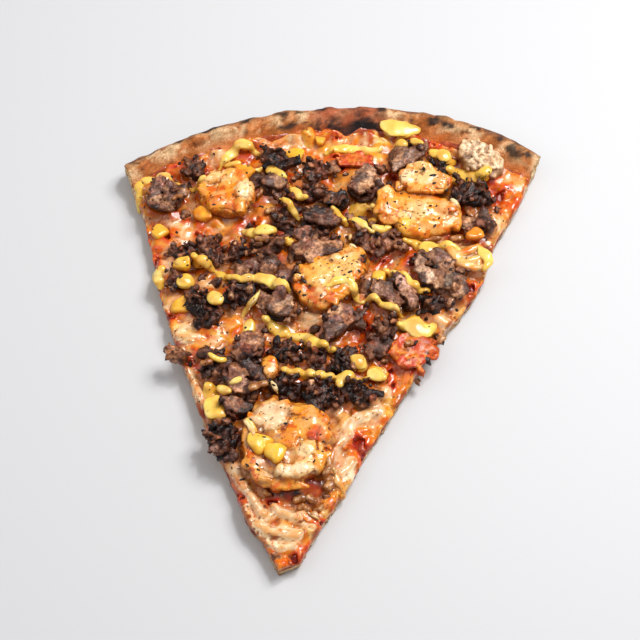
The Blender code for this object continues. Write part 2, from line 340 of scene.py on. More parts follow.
def ranged(tree, source, low, high, to_low, to_high):
    """A value turned smoothly from one range into another."""
    made = node_of(tree, "ShaderNodeMapRange")
    made.interpolation_type = "SMOOTHSTEP"
    for name, value in (("From Min", low), ("From Max", high), ("To Min", to_low),
                        ("To Max", to_high)):
        made.inputs[name].default_value = value
    tree.links.new(source, made.inputs["Value"])
    return made.outputs["Result"]


def feed(tree, socket, value):
    """Gives a socket a number, a colour or a link."""
    if isinstance(value, (int, float)):
        socket.default_value = value
    elif isinstance(value, (tuple, np.ndarray)):
        socket.default_value = (*value[:3], 1.0)
    else:
        tree.links.new(value, socket)


def blended(tree, kind, share, first, second):
    made = node_of(tree, "ShaderNodeMix", data_type="RGBA", blend_type=kind)
    feed(tree, made.inputs["Factor"], share)
    feed(tree, made.inputs[6], first)
    feed(tree, made.inputs[7], second)
    return made.outputs[2]


def worked_out(tree, operation, *values):
    made = node_of(tree, "ShaderNodeMath", operation=operation)
    for socket, value in zip(made.inputs, values):
        feed(tree, socket, value)
    return made.outputs[0]


def food_material(name, grain, mottle, dark, light, gloss, bump, subsurface=0.0,
                  radius=(1.0, 0.4, 0.2), coat=0.0, speck=None, grit=(0.92, 1.05), shine=0.5):
    """A material that shows the colours written on the mesh. grain and mottle are the scales, per
    mm, of the fine and coarse variation, dark and light its two tones, gloss the range of
    roughness, bump the depth of the fine relief in mm, and speck a colour for small dots."""
    made = bpy.data.materials.new(name)
    made.use_nodes = True
    tree = made.node_tree
    shader = tree.nodes["Principled BSDF"]
    tint = node_of(tree, "ShaderNodeAttribute", attribute_name="tint")
    coarse = texture_noise(tree, mottle, 4.0, 0.3)
    fine = texture_noise(tree, grain, 6.0)
    shade = ranged(tree, coarse, 0.3, 0.7, 0.0, 1.0)
    tone = blended(tree, "MIX", shade, dark, light)
    colour = blended(tree, "MULTIPLY", 1.0, tint.outputs["Color"], tone)
    fleck = ranged(tree, fine, 0.36, 0.62, *grit)
    colour = blended(tree, "MULTIPLY", 1.0, colour, fleck)
    if speck is not None:
        dots = ranged(tree, texture_noise(tree, 0.85, 1.0), 0.70, 0.75, 0.0, 0.9)
        colour = blended(tree, "MIX", dots, colour, speck)
    tree.links.new(colour, shader.inputs["Base Color"])
    wet = ranged(tree, coarse, 0.35, 0.65, gloss[1], gloss[0])
    dryness = worked_out(tree, "SUBTRACT", 1.0, tint.outputs["Alpha"])
    feed(tree, shader.inputs["Roughness"], worked_out(tree, "MULTIPLY_ADD", dryness, 0.45, wet))
    relief = node_of(tree, "ShaderNodeBump")
    relief.inputs["Strength"].default_value = 0.8
    relief.inputs["Distance"].default_value = bump * 0.001
    tree.links.new(fine, relief.inputs["Height"])
    tree.links.new(relief.outputs["Normal"], shader.inputs["Normal"])
    for socket, value in (("Specular IOR Level", shine), ("Subsurface Weight", subsurface),
                          ("Subsurface Radius", radius), ("Subsurface Scale", 0.002),
                          ("Coat Weight", coat), ("Coat Roughness", 0.07)):
        shader.inputs[socket].default_value = value
    return made


DOUGH = food_material("baked_dough", 1.6, 0.35, (0.80, 0.74, 0.68), (1.10, 1.06, 1.00),
                      (0.42, 0.72), 0.30, grit=(0.72, 1.12))
SAUCE = food_material("tomato_sauce", 1.6, 0.5, (0.75, 0.6, 0.6), (1.15, 1.1, 1.0),
                      (0.08, 0.3), 0.15, 0.05, grit=(0.8, 1.08))
CHEESE = food_material("melted_cheese", 1.1, 0.4, (0.97, 0.83, 0.60), (1.04, 1.00, 0.93),
                       (0.10, 0.34), 0.08, 0.16, (1.0, 0.6, 0.25), 0.35, speck=BROWN * 0.6)
PRAWN = food_material("glazed_prawn", 1.2, 0.3, (0.96, 0.80, 0.62), (1.04, 1.00, 0.94),
                      (0.14, 0.38), 0.10, 0.22, (1.0, 0.55, 0.25), 0.35,
                      speck=BROWN * 0.45, shine=0.45)
BEEF = food_material("fried_beef", 1.0, 0.5, (0.74, 0.57, 0.45), (1.64, 1.44, 1.24),
                     (0.10, 0.40), 0.42, grit=(0.70, 1.14), shine=0.40)
DRIZZLE = food_material("yellow_sauce", 0.8, 0.25, (0.97, 0.92, 0.84), (1.03, 1.03, 1.02),
                        (0.08, 0.2), 0.02, 0.22, (1.0, 0.7, 0.25), grit=(0.98, 1.02))
CORN = food_material("corn", 1.0, 0.3, (0.92, 0.84, 0.74), (1.06, 1.05, 1.02),
                     (0.08, 0.25), 0.04, 0.10)
CURDS = food_material("white_curds", 1.5, 0.4, (0.94, 0.90, 0.84), (1.06, 1.05, 1.03),
                      (0.22, 0.5), 0.08, 0.14)
TOMATO = food_material("tomato", 1.0, 0.35, (0.84, 0.66, 0.56), (1.12, 1.1, 1.0),
                       (0.16, 0.4), 0.24, 0.06, grit=(0.8, 1.1))
PEPPER = food_material("pepper", 2.5, 1.0, (0.6, 0.6, 0.6), (1.5, 1.4, 1.3), (0.4, 0.7), 0.1)


def brown_underside(material):
    """The baked underside: floury and pale, with browned and charred spots from the oven floor."""
    tree = material.node_tree
    shader = tree.nodes["Principled BSDF"]
    above = shader.inputs["Base Color"].links[0].from_socket
    toast = rgb(222, 188, 138)
    for scale, detail, bend, low, high, most, tone in (
            (0.09, 5.0, 0.6, 0.38, 0.62, 1.0, rgb(150, 92, 50)),
            (0.16, 4.0, 0.4, 0.58, 0.68, 0.9, rgb(58, 38, 28)),
            (0.6, 6.0, 0.0, 0.52, 0.68, 0.5, rgb(236, 216, 186))):
        share = ranged(tree, texture_noise(tree, scale, detail, bend), low, high, 0.0, most)
        toast = blended(tree, "MIX", share, toast, tone)
    place = node_of(tree, "ShaderNodeNewGeometry")
    split = node_of(tree, "ShaderNodeSeparateXYZ")
    tree.links.new(place.outputs["Position"], split.inputs[0])
    low = ranged(tree, split.outputs["Z"], 0.0003, 0.0014, 1.0, 0.0)
    tree.links.new(blended(tree, "MIX", low, above, toast), shader.inputs["Base Color"])


brown_underside(DOUGH)

# ---------------------------------------------------------------- the plan as fields

left_line = smooth_line(LEFT_CUT, count=90)
right_line = smooth_line(RIGHT_CUT, count=90)


def arc_points(count=120):
    """Points along the outside of the rim, from the left cut to the right one."""
    u = np.linspace(0, 1, count)[:, None]
    left, right = left_line[-1], right_line[-1]
    chord = right - left
    out = np.array([-chord[1], chord[0]]) / np.linalg.norm(chord)
    side = 2 * u - 1
    bow = ARC_RISE * (1 - np.abs(side) ** ARC_FULLNESS) * (1 + ARC_LEAN * side)
    return left + chord * u + out * bow


arc_line = arc_points()
XS = np.arange(-94, 94.01, LAYER_STEP)
YS = np.arange(-107, 113.01, LAYER_STEP)
GX, GY = np.meshgrid(XS, YS, indexing="ij")
left_side = side_distance(left_line, GX, GY)
right_side = -side_distance(right_line, GX, GY)
tip_side = side_distance(np.array([right_line[0], left_line[0]]), GX, GY)
CUT = np.minimum(np.minimum(left_side, right_side), tip_side)
INSET = side_distance(arc_line, GX, GY)


def plan_noise(size, seed):
    return noise(GX, GY, 0, size, seed)


def read(field, x, y):
    """A field of the plan at any points."""
    return between(field, (x - XS[0]) / LAYER_STEP, (y - YS[0]) / LAYER_STEP)


def read_one(field, x, y):
    """A field of the plan at one point."""
    return read(field, np.array([x]), np.array([y]))[0]


def smear(field, rounds):
    """The field with each value blended with its neighbours, several times over."""
    for _ in range(rounds):
        for axis in (0, 1):
            field = (np.roll(field, 1, axis) + np.roll(field, -1, axis) + 2 * field) / 4
    return field


# ---------------------------------------------------------------- the toppings of the CAD part

class Lump:
    """A CAD lump: its outline as the reach in many directions, its floor and its height."""

    def __init__(self, name):
        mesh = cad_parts[name].data
        points = np.array([v.co for v in mesh.vertices]) * 1000 - SHIFT
        self.name = name
        self.low, self.high = points.min(0), points.max(0)
        turns = np.arange(32) * 2 * math.pi / 32
        self.ways = np.stack([np.cos(turns), np.sin(turns)], 1)
        self.reach = (points[:, :2] @ self.ways.T).max(0)
        self.middle = (self.low[:2] + self.high[:2]) / 2
        self.floor = float(np.sort(points[:, 2])[:11].mean())
        self.height = self.high[2] - self.floor

    def outline(self, x, y):
        """Signed distance to the outline, less than 0 inside."""
        found = -np.inf
        for way, reach in zip(self.ways, self.reach):
            found = np.maximum(found, x * way[0] + y * way[1] - reach)
        return found


LUMPS = [Lump(n) for n in sorted(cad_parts)
         if n not in ("crust", "tomato_sauce", "melted_cheese")]
BY_NAME = {lump.name: lump for lump in LUMPS}
# How far each place of the plan is from the nearest beef, and from the nearest other topping.
near_beef, near_other = np.full(GX.shape, 30.0), np.full(GX.shape, 30.0)
for lump in LUMPS:
    near = near_beef if lump.name.startswith("beef") else near_other
    np.minimum(near, lump.outline(GX, GY), out=near)

# ---------------------------------------------------------------- the crust

# How many blisters there are on the rim.
BLISTERS = 46
rng = np.random.default_rng(5)
rim_share = ramp(INSET, 19, 13)
blister = 0.0 * GX
for _ in range(BLISTERS):
    k = rng.integers(4, len(arc_line) - 4)
    inward = rng.uniform(2.5, 12)
    toward = np.array([0.0, -30.0]) - arc_line[k]
    spot = arc_line[k] + toward / np.linalg.norm(toward) * inward
    radius = rng.uniform(1.8, 5.0)
    shape = (radius, radius * rng.uniform(0.7, 1.0), rng.uniform(0, 180))
    cap = 1 - ellipse(GX, GY, *spot, *shape) ** 2
    blister = np.maximum(blister, np.clip(cap, 0, 1) ** 0.7 * radius * rng.uniform(0.14, 0.26))
relief = (blister + 0.55 * plan_noise(7, 1) + 0.35 * plan_noise(3.1, 2)
          + 0.16 * plan_noise(1.4, 3)) * rim_share
rim_inset = INSET + 0.8 * plan_noise(11, 4) + 0.35 * plan_noise(4, 5)
rim_scale = 1 + 0.09 * plan_noise(21, 6) * rim_share

# The crust's cross section, worked out once as distances on a grid.
profile = np.array(RIM_TOP + [(60, BASE), (60, 0)] + RIM_UNDER[:0:-1], float)
SECTION_STEP = 0.25
table_in = np.arange(-12, 40, SECTION_STEP)
table_z = np.arange(-5, 24, SECTION_STEP)
SECTION = polygon_distance(profile, table_in[:, None], table_z[None, :])


def section(inset, z):
    """Signed distance to the crust's cross section."""
    return between(SECTION, (inset - table_in[0]) / SECTION_STEP, (z - table_z[0]) / SECTION_STEP)


crust_top = np.interp(rim_inset, *zip(*RIM_TOP)) * rim_scale + relief


def wavy_cut(z, band, size, depth, seed):
    """The two cuts with a torn, crumbly face, on the grid's columns and the heights z."""
    near = np.abs(CUT) < band
    face = np.repeat(CUT[:, :, None], len(z), axis=2)
    x, y = GX[near][:, None], GY[near][:, None]
    torn = depth * (noise(x, y, z[None, :] * 1.6, size, seed)
                    + 0.6 * noise(x, y, z[None, :] * 1.3, size / 2.2, seed + 1))
    face[near] += torn
    return -face


def carve(field, zs, x, y, z, radius, flat=1.0):
    """Cuts a round hollow out of a field on the plan's grid."""
    reach = radius + 1.5
    i0, i1 = np.searchsorted(XS, [x - reach, x + reach])
    j0, j1 = np.searchsorted(YS, [y - reach, y + reach])
    k0, k1 = np.searchsorted(zs, [z - reach, z + reach])
    away = np.sqrt((XS[i0:i1, None, None] - x) ** 2 + (YS[None, j0:j1, None] - y) ** 2
                   + ((zs[None, None, k0:k1] - z) / flat) ** 2)
    part = field[i0:i1, j0:j1, k0:k1]
    field[i0:i1, j0:j1, k0:k1] = soft_max(part, radius - away, 0.25)


# How many air holes there are along each cut.
CUT_HOLES = 300
# Each char spot on the rim: middle, half length, half width and turn.
CHAR_SPOTS = [
    (6, 90.5, 15, 6.5, 4), (12, 94, 7, 4, 20), (-23, 95.5, 3, 1.6, 10), (-16, 97.5, 2.2, 1.4, 0),
    (-52, 85.5, 6, 1.6, 28), (74, 87, 3.4, 4.2, 20), (68, 92, 2.2, 1.2, -20), (40, 99, 2.4, 1.6, 0),
    (-38, 91, 2.0, 1.2, 30), (46, 97.5, 3.0, 1.5, -8), (-64, 78, 3.0, 1.0, 35),
    (58, 97, 3.4, 1.1, -20), (18, 102.5, 2.4, 1.6, 0), (-7, 101, 3.2, 1.2, 5),
    (-74, 72, 2.2, 1.0, 40), (80, 86, 1.6, 2.2, 0), (-20, 91, 4.0, 1.4, 20), (33, 95, 1.8, 1.6, 0),
]


def plan_mesh(name, field, zs, adaptivity):
    """The mesh of a field on the plan's grid and the heights zs, and its points."""
    points, faces = surface(field, (XS[0], YS[0], zs[0]), LAYER_STEP, adaptivity)
    return face_mesh(name, points, faces), points


def make_crust():
    """The baked base and its rim, with air holes in the cuts and char on the rim."""
    zs = np.arange(-1.5, 18.01, LAYER_STEP)
    field = np.empty((*GX.shape, len(zs)), np.float32)
    for k, z in enumerate(zs):
        lift = relief * ramp(z, 3.0, 7.0)
        field[:, :, k] = section(rim_inset, z / rim_scale - lift * 0.2) - lift * 0.8
    field = np.maximum(field, wavy_cut(zs, 2.5, 2.4, 0.42, 8))
    for line, way in ((left_line, 1), (right_line, -1)):
        for _ in range(CUT_HOLES):
            k = rng.integers(0, len(line) - 1)
            x, y = line[k] + (line[k + 1] - line[k]) * rng.random()
            rim = max(read_one(crust_top, x, y) - BASE, 0)
            z = rng.uniform(1.0, BASE + rim * 0.8 - 0.9)
            size = rng.uniform(0.35, 0.95) + rim * rng.uniform(0, 0.16)
            carve(field, zs, x + way * rng.uniform(-0.3, 0.5), y, z, size, rng.uniform(0.6, 1))
    mesh, points = plan_mesh("baked_crust", field, zs, 0.12)
    x, y, z, deep, n1, n2 = surveyed(mesh, points, 4, (7, 3, 21), (2.6, 3, 22))
    inset, cut, top = read(INSET, x, y), read(CUT, x, y), read(crust_top, x, y)
    tan = mix(rgb(206, 134, 84), rgb(240, 200, 152), ramp(n1 + 0.4 * n2, -0.5, 0.6))
    tan = mix(tan, rgb(170, 96, 56), ramp(n2 - 0.3 * n1, 0.15, 0.7) * 0.8)
    outer = mix(rgb(98, 64, 50), rgb(160, 112, 84), ramp(n2, -0.5, 0.5))
    outer = mix(outer, rgb(214, 168, 124), ramp(rough(x, y, z, 1.6, 2, 23), 0.25, 0.7) * 0.75)
    outer = mix(outer, rgb(206, 146, 98), ramp(rough(x, y, z, 8, 2, 26), 0.0, 0.5) * 0.6)
    outer = mix(outer, rgb(60, 40, 34), ramp(z, 6.5, 3.5) * ramp(inset, 2.5, 1.0) * 0.8)
    colour = mix(outer, tan, ramp(inset + 1.5 * n1 + 1.0 * n2, 2.6, 6.5))
    colour = mix(colour, rgb(214, 122, 62), ramp(inset + 2 * n1 + n2, 9.0, 12.5) * 0.7)
    for size, width in ((4.2, 0.06), (2.0, 0.08)):
        crack = np.abs(rough(x, y, z, size, 3, 24))
        colour = mix(colour, colour * np.array([0.56, 0.42, 0.34]),
                     ramp(crack, width, width * 0.3) * ramp(z, 4, 8) * 0.75)
    reddish = ramp(ellipse(x, y, 5, 96, 21, 12) + 0.25 * n1, 1.15, 0.75)
    ruddy = mix(rgb(120, 66, 54), rgb(168, 96, 72), ramp(n2, -0.5, 0.5))
    colour = mix(colour, ruddy, reddish * 0.85)
    for cx, cy, rx, ry, turn in CHAR_SPOTS:
        burnt = ramp(ellipse(x, y, cx, cy, rx, ry, turn) + 0.35 * n2 + 0.2 * n1, 1.15, 0.7)
        colour = mix(colour, CHAR, burnt * 0.92)
    speckle = ramp(rough(x, y, z, 2.2, 2, 29), 0.62, 0.85) * ramp(inset, 16, 10)
    colour = mix(colour, DARK_BROWN, speckle * 0.75)
    face = ramp(cut, 1.3, 0.5) * ramp(z, 0.5, 1.2) * ramp(z - top, -0.3, -1.1)
    crumb = mix(rgb(240, 214, 168), rgb(214, 168, 108), ramp(n2, -0.2, 0.6))
    crumb = mix(crumb, rgb(176, 116, 62), ramp(z, 1.8, 0.8) * 0.8)
    colour = mix(colour, crumb, face)
    # Painted shade in the hollows of the crust and a painted highlight on its bumps.
    colour = mix(colour, colour * 0.45, ramp(deep, 0.08, 0.5))
    colour = mix(colour, np.minimum(colour * 1.25, 0.9), ramp(-deep, 0.05, 0.35) * 0.5)
    finish_piece(mesh, colour, DOUGH, "crust", "baked_dough", 0.3)


# ---------------------------------------------------------------- sauce and cheese

# Places where the sauce comes through the cheese: middle, half length, half width, turn.
SAUCE_POOLS = [
    (-64, 66, 5, 4, 40), (12, 77, 5, 4, 0), (5, 75, 3, 3, 0), (70, 69, 7, 6, -20),
    (-48, 37, 6.5, 3.5, 0), (-64, 24, 2.5, 5, 15), (-62, 34, 4, 6, 10), (61, 24, 4, 4, 0),
    (-55, -0.5, 4, 2.5, 0), (-45, -21, 4, 4, 0), (22, -1, 6, 9, 20), (33, -18, 3.5, 6, 20),
    (23, -48, 5, 8, 25), (-20, -72, 5, 4.5, -50), (-7, -73.5, 3.5, 1.6, 0), (12, -79.5, 3.5, 2, 0),
    (36, 34, 3.5, 4, 0), (42, -15, 3, 5, 30), (-58, 44, 5, 3, 0), (40, 90, 7, 3.5, -15),
    (-30, 44, 6, 3, 20), (-36, 76, 5, 3, 10), (2, 80, 6, 2.5, 0), (54, 47, 3, 2.5, 0),
    (8, -92, 3, 5, 30), (3, -94, 5, 3, 0), (-70, 30, 2, 5, 0), (25, 33, 5, 3, 10),
    (-40, -9, 4, 2.5, 0), (-18, 28, 4, 2, 0), (30, 45, 4, 2, 0), (-62, 10, 2, 4, 0),
    (0, 89, 5, 1.8, 5), (27, 73, 3, 3, 0), (-9, 51, 3, 3, 0),
]
# Ridges and folds of cheese: points along each, its half width and height.
CHEESE_FOLDS = [
    ([(52, 40), (56, 37.5), (60, 39), (63, 36), (62, 31)], 2.6, 3.4),
    ([(49, 40), (53, 36), (57, 32), (63, 31)], 2.2, 3.0),
    ([(-11, -83), (-4, -85.5), (4, -85)], 2.6, 2.4),
    ([(-9, -88.5), (-3, -90.5), (3, -89.5)], 1.7, 1.6),
    ([(-15, -80), (-13.5, -85), (-10.5, -89)], 2.3, 2.4),
    ([(19, -44), (15, -49), (13, -56)], 2.2, 2.0), ([(26, -34), (20, -39), (17, -45)], 2.4, 2.0),
    ([(-23, -58), (-20, -66), (-15, -72)], 2.4, 1.8),
    ([(-45, -24), (-41, -31), (-37, -37)], 2.2, 1.6), ([(48, 8), (53, 6), (56, 1)], 2.8, 2.2),
    ([(-59, 30), (-59, 24), (-57, 19)], 2.2, 1.6), ([(66, 58), (69, 55), (67, 50)], 2.4, 1.8),
    ([(17, 13), (19, 19), (23, 24)], 2.6, 2.4), ([(-7, 8), (0, 4), (7, 8)], 2.8, 1.8),
    ([(-46, 14), (-42, 12), (-44, 8)], 2.6, 1.8), ([(-48, -4), (-52, -9), (-44, -9)], 2.0, 1.4),
    ([(-14.5, -72.5), (-12, -76), (-9.5, -79)], 2.4, 2.6),
    ([(-6, -75.5), (-2, -78), (3, -79.5)], 2.1, 2.4), ([(5, -81), (9, -82)], 1.5, 1.4),
    ([(31, -25), (26, -29), (30, -33)], 2.4, 1.8), ([(15, -62), (19, -58), (21, -54)], 2.0, 1.6),
    ([(-20, -79), (-14, -76), (-6, -79)], 1.5, 1.4),
]

sauce_edge = 12.0 + 1.6 * plan_noise(9, 31) + 1.0 * plan_noise(3.5, 32)
cheese_edge = 13.2 + 2.0 * plan_noise(8, 33) + 1.4 * plan_noise(3, 34)
pools = np.full(GX.shape, 9.0)
for cx, cy, rx, ry, turn in SAUCE_POOLS:
    pools = np.minimum(pools, ellipse(GX, GY, cx, cy, rx * 0.85, ry * 0.85, turn))
pools = pools + 0.75 * rough(GX, GY, 0, 3.0, 3, 35)
sauce_top = crust_top + 1.3 * ramp(INSET - sauce_edge, -0.5, 2.0) - 0.5
sauce_top += ramp(pools, 0.4, 0.0) * (1.2 + 0.9 * plan_noise(2.0, 36)) * ramp(INSET, 8, 11)
sauce_top += 0.25 * plan_noise(1.3, 37)

folds = 0.0 * GX
for points, width, height in CHEESE_FOLDS:
    away = line_distance(points, GX, GY, 1.0) + 0.4 * plan_noise(3, 38)
    folds = np.maximum(folds, 1.25 * height * np.sqrt(np.clip(1 - (away / width) ** 2, 0, 1)))
# Melted blobs of cheese, with their colours and how common each is.
BLOBS = 4600
BLOB_TONES = [(PALE, 0.18), (CREAM, 0.18), (BUTTER, 0.15), (GOLD, 0.18), (ORANGE, 0.17),
              (rgb(186, 104, 48), 0.08), (rgb(140, 74, 38), 0.06)]


def melted_blobs():
    """Melted shreds and pools of cheese, as low oval mounds that each have a colour, with darker
    oil and sauce in the creases between them."""
    rand = np.random.default_rng(91)
    height = np.zeros(GX.shape)
    tone = np.tile(rgb(224, 130, 44), (*GX.shape, 1))
    wobble = rough(GX, GY, 0, 2.2, 2, 92)
    limits = np.cumsum([share for _, share in BLOB_TONES])
    for _ in range(BLOBS):
        x, y = rand.uniform(-88, 88), rand.uniform(-100, 102)
        length = rand.uniform(0.9, 4.2) if rand.random() < 0.8 else rand.uniform(4, 6)
        width = length * rand.uniform(0.22, 0.75)
        turn, pick, lift = rand.uniform(0, 180), rand.random(), rand.uniform(0.7, 1.3)
        i0, i1 = np.searchsorted(XS, [x - length - 1, x + length + 1])
        j0, j1 = np.searchsorted(YS, [y - length - 1, y + length + 1])
        part = (slice(i0, i1), slice(j0, j1))
        out = ellipse(GX[part], GY[part], x, y, length, width, turn) + 0.34 * wobble[part]
        cap = (0.35 + 0.36 * width) * lift * np.sqrt(np.clip(1 - out * out, 0, 1))
        share = ramp(cap - height[part], -0.12, 0.16) * (out < 1)
        colour = BLOB_TONES[min(int(np.searchsorted(limits, pick)), len(BLOB_TONES) - 1)][0]
        tone[part] = mix(tone[part], colour * rand.uniform(0.88, 1.06), share)
        height[part] = np.maximum(height[part], cap)
    return height, tone


blob_height, blob_tone = melted_blobs()
flow = rough(GX, GY, 0, 8.5, 3, 39)
thick = 0.9 + 0.55 * flow + 0.16 * plan_noise(1.5, 41)
thick += 1.45 * smear(blob_height, 1) * (1 - 0.5 * ramp(folds, 0.1, 1.0))
thick += 1.1 * np.exp(-np.clip(np.minimum(near_beef, near_other), 0, 9) / 1.6)
thick = np.maximum(thick, 0.5) + smear(folds, 2)
hole = ramp(pools, 0.30, 0.05)
thick = thick * (1 - hole) - 0.3 * hole
inner = ramp(INSET - cheese_edge, -1.2, 1.6)
cheese_top = crust_top + 0.9 + thick * inner - 1.3 * (1 - inner)
cheese_top -= 0.9 * np.exp(-np.clip(CUT, 0, 9) / 0.9)


def layer_field(top, bottom, zs, out, seed):
    """Distances to a layer between two heights, cut at the slice's sides."""
    slope_x, slope_y = np.gradient(top, LAYER_STEP)
    lean = 1 / np.sqrt(1 + slope_x**2 + slope_y**2)
    field = np.empty((*GX.shape, len(zs)), np.float32)
    for k, z in enumerate(zs):
        field[:, :, k] = np.maximum((z - top) * lean, bottom - z)
    side = wavy_cut(zs, 3.0, 3.4, 0.5, seed) - out
    return soft_max(field, side, 0.8)


def make_sauce():
    """The tomato sauce, seen in the pools and along the rim."""
    zs = np.arange(2.5, 18.01, LAYER_STEP)
    bottom = np.maximum(crust_top - 1.2, 3.6)
    field = layer_field(sauce_top, bottom, zs, 0.15, 51)
    field = np.maximum(field, (10.5 - INSET)[:, :, None])
    mesh, points = plan_mesh("sauce_layer", field, zs, 0.35)
    x, y, z, deep, n1, n2 = surveyed(mesh, points, 3, (5, 3, 52), (1.8, 2, 53))
    colour = coats(
        mix(rgb(180, 52, 24), rgb(120, 28, 14), ramp(n1, -0.2, 0.6)),
        (rgb(206, 92, 32), ramp(n2, 0.0, 0.6) * 0.7),
        # Paler on the bumps is a painted highlight; deep red in the hollows is painted shade.
        (rgb(220, 110, 60), ramp(-deep, 0.05, 0.3) * 0.6),
        (DEEP_RED, ramp(deep, 0.05, 0.3) * 0.8))
    baked = ramp(read(INSET, x, y) + 1.5 * n2, 17.5, 13.5)
    colour = mix(colour, mix(rgb(196, 104, 54), rgb(150, 66, 34), ramp(n2, -0.3, 0.5)), baked * 0.8)
    finish_piece(mesh, colour, SAUCE, "tomato_sauce", "tomato_sauce")


# Colours that lie on the cheese: middle, half length, half width, turn, colour and strength.
STAINS = [
    (-10.5, 71.5, 3, 3, 0, PALE, 0.9), (-11, 65, 3, 3, 0, PALE, 0.9), (-44, 13, 6, 4, 0, PALE, 0.9),
    (-52, 4.5, 4, 3, 0, PALE, 0.8), (-47, -4, 5, 3.5, 0, PALE, 0.8), (-59, 26, 4, 5, 0, PALE, 0.7),
    (2, 4.5, 9, 6, 0, PALE, 1.3), (-3, 10, 5, 2.4, -20, PALE, 1.2), (14, 12, 4, 2, 30, CREAM, 1.2),
    (-17, 0, 3, 4, 0, PALE, 1.1), (-26, 50, 4, 3, 0, CREAM, 1.0), (8, 43, 3, 5, 0, CREAM, 1.0),
    (27, 34, 6, 3, 0, CREAM, 1.0), (-40, 26, 8, 2.5, 0, CREAM, 1.0), (18.5, 18, 3, 6, 0, PALE, 0.9),
    (24, 23.5, 3.5, 3.5, 0, PALE, 0.9), (50, 5, 7, 6, 0, PALE, 0.8), (66, 57, 5, 4, 0, PALE, 0.8),
    (24, -37, 5, 4, 0, PALE, 0.9), (27, -41, 5, 3, 0, ORANGE, 0.8),
    (33, -31, 4, 6, 20, YELLOW, 0.9), (30, -28, 5, 5, 0, YELLOW, 0.9),
    (19, -38, 3, 2, 0, ORANGE, 0.8), (37, -24, 3, 4, 20, GOLD, 0.9), (16, -46, 5, 5, 0, PALE, 0.8),
    (18, -56, 6, 5, 0, PALE, 0.7), (18, -66, 4, 6, 0, BUTTER, 0.8), (-21, -62, 4, 8, 20, PALE, 0.7),
    (2, -77, 4, 3.5, 0, PALE, 0.8), (-3, -86.5, 8, 4.4, 0, PALE, 1.46),
    (-12, -84, 3, 5, 15, PALE, 1.46), (5, -84, 4, 3, 0, CREAM, 1.2),
    (1, -89, 6, 1.2, -10, GOLD, 0.7), (-6, -71.5, 3.4, 2, 0, DARK_BROWN, 1.5),
    (-12, -76, 3.0, 4.6, 25, rgb(226, 122, 40), 1.46), (-2, -77.8, 5, 1.8, -20, PALE, 1.46),
    (-11, -73.4, 1.1, 0.9, 0, DARK_BROWN, 1.4), (12, -79.5, 3.2, 1.8, 20, rgb(186, 40, 22), 1.4),
    (-9, -79.6, 2, 1, 20, BROWN, 1.2), (1.5, -70.5, 2, 2.2, 0, DARK_BROWN, 1.5),
    (-3, -91.6, 2.6, 0.9, -15, rgb(186, 92, 34), 1.3),
    (3, -86.6, 1.8, 0.7, 20, rgb(196, 104, 42), 1.3),
    (0, -94, 3.4, 1.6, -10, rgb(214, 140, 40), 1.2),
    (-7, -86.5, 0.9, 0.6, 0, rgb(186, 92, 34), 1.4), (-8, -92.5, 2, 1, 0, BROWN, 1.2),
    (6, -86, 1.6, 2.4, 0, BROWN, 1.2), (-16, -74, 2.4, 1.6, -40, rgb(120, 26, 16), 1.4),
    (9, -90.5, 1.6, 2.6, 0, DARK_BROWN, 1.3), (-47, -8.5, 6, 2, 0, YELLOW, 0.8),
    (-37, -13, 5, 2.5, 0, YELLOW, 0.8), (-42, -29, 4, 7, 30, CREAM, 0.7),
    (58, 38, 6, 4, 0, BUTTER, 0.9), (58, 33, 8, 3, 0, BUTTER, 0.9),
    (57.5, 38, 2.5, 2, 0, ORANGE, 0.6), (-20, 72, 6, 5, 0, ORANGE, 0.7),
    (-46, 66, 6, 5, 0, ORANGE, 0.6), (-33, 47, 7, 6, 0, ORANGE, 0.6),
    (-28, 68, 6, 6, 0, ORANGE, 0.7), (-33, 68, 5, 5, 0, DEEP_ORANGE, 0.6),
    (6, 79, 10, 5, 0, ORANGE, 0.8), (-18, 82, 8, 4, 0, ORANGE, 0.8), (70, 62, 7, 5, 0, ORANGE, 0.8),
    (74, 74, 5, 5, 0, ORANGE, 0.6), (-47, 44, 8, 5, 0, ORANGE, 0.6),
    (-64, 40, 6, 8, 0, ORANGE, 0.7), (62, 26, 5, 7, 0, ORANGE, 0.8),
    (22, -1, 9, 12, 20, DEEP_ORANGE, 0.8), (33, -18, 6, 8, 20, ORANGE, 0.8),
    (26, -15, 5, 5, 0, ORANGE, 0.7), (23, -48, 7, 10, 25, DEEP_ORANGE, 0.7),
    (-20, -71, 5, 5, 0, DEEP_ORANGE, 0.7), (-9, -76, 8, 3.4, 0, DEEP_ORANGE, 0.8),
    (10, -80, 5, 3, 0, RED, 0.6), (-22, 2, 5, 8, 20, ORANGE, 0.7), (-12, 15, 8, 5, 0, GOLD, 0.6),
    (30, 31, 8, 3, 0, CREAM, 0.7), (2, -94.5, 5, 3, 0, DEEP_ORANGE, 0.7),
    (5, -91, 4, 2.4, 0, ORANGE, 0.6), (-53, 52, 7, 4, 0, DEEP_ORANGE, 0.5),
    (-62, 42, 4, 5, 20, PALE, 1.1), (-55, 37, 4, 3, 0, PALE, 1.0), (-38, 42, 4, 4, 0, CREAM, 1.2),
    (-68, 50, 3, 6, -10, BUTTER, 1.0), (-27, 46, 4, 3, 0, PALE, 1.1),
    (-75, 58, 5, 6, 0, CREAM, 0.7), (76, 78, 5, 4, 0, CREAM, 0.6), (71, 52, 3, 8, -15, CREAM, 0.7),
    (-40, -28, 3, 6, 30, CREAM, 0.5), (40, -24, 4, 8, 25, CREAM, 0.5), (-30, 0, 6, 6, 0, GOLD, 0.6),
    (-8, 40, 5, 3, 0, GOLD, 0.5), (-12, -10, 9, 3, 0, GOLD, 0.4), (-35, 20, 8, 3, 0, GOLD, 0.5),
    (27, 9, 9, 3, 0, CREAM, 0.6), (10, 12, 7, 3, 0, CREAM, 0.6),
    (-11.5, -3, 4, 2.5, 0, rgb(170, 140, 50), 0.7),
]


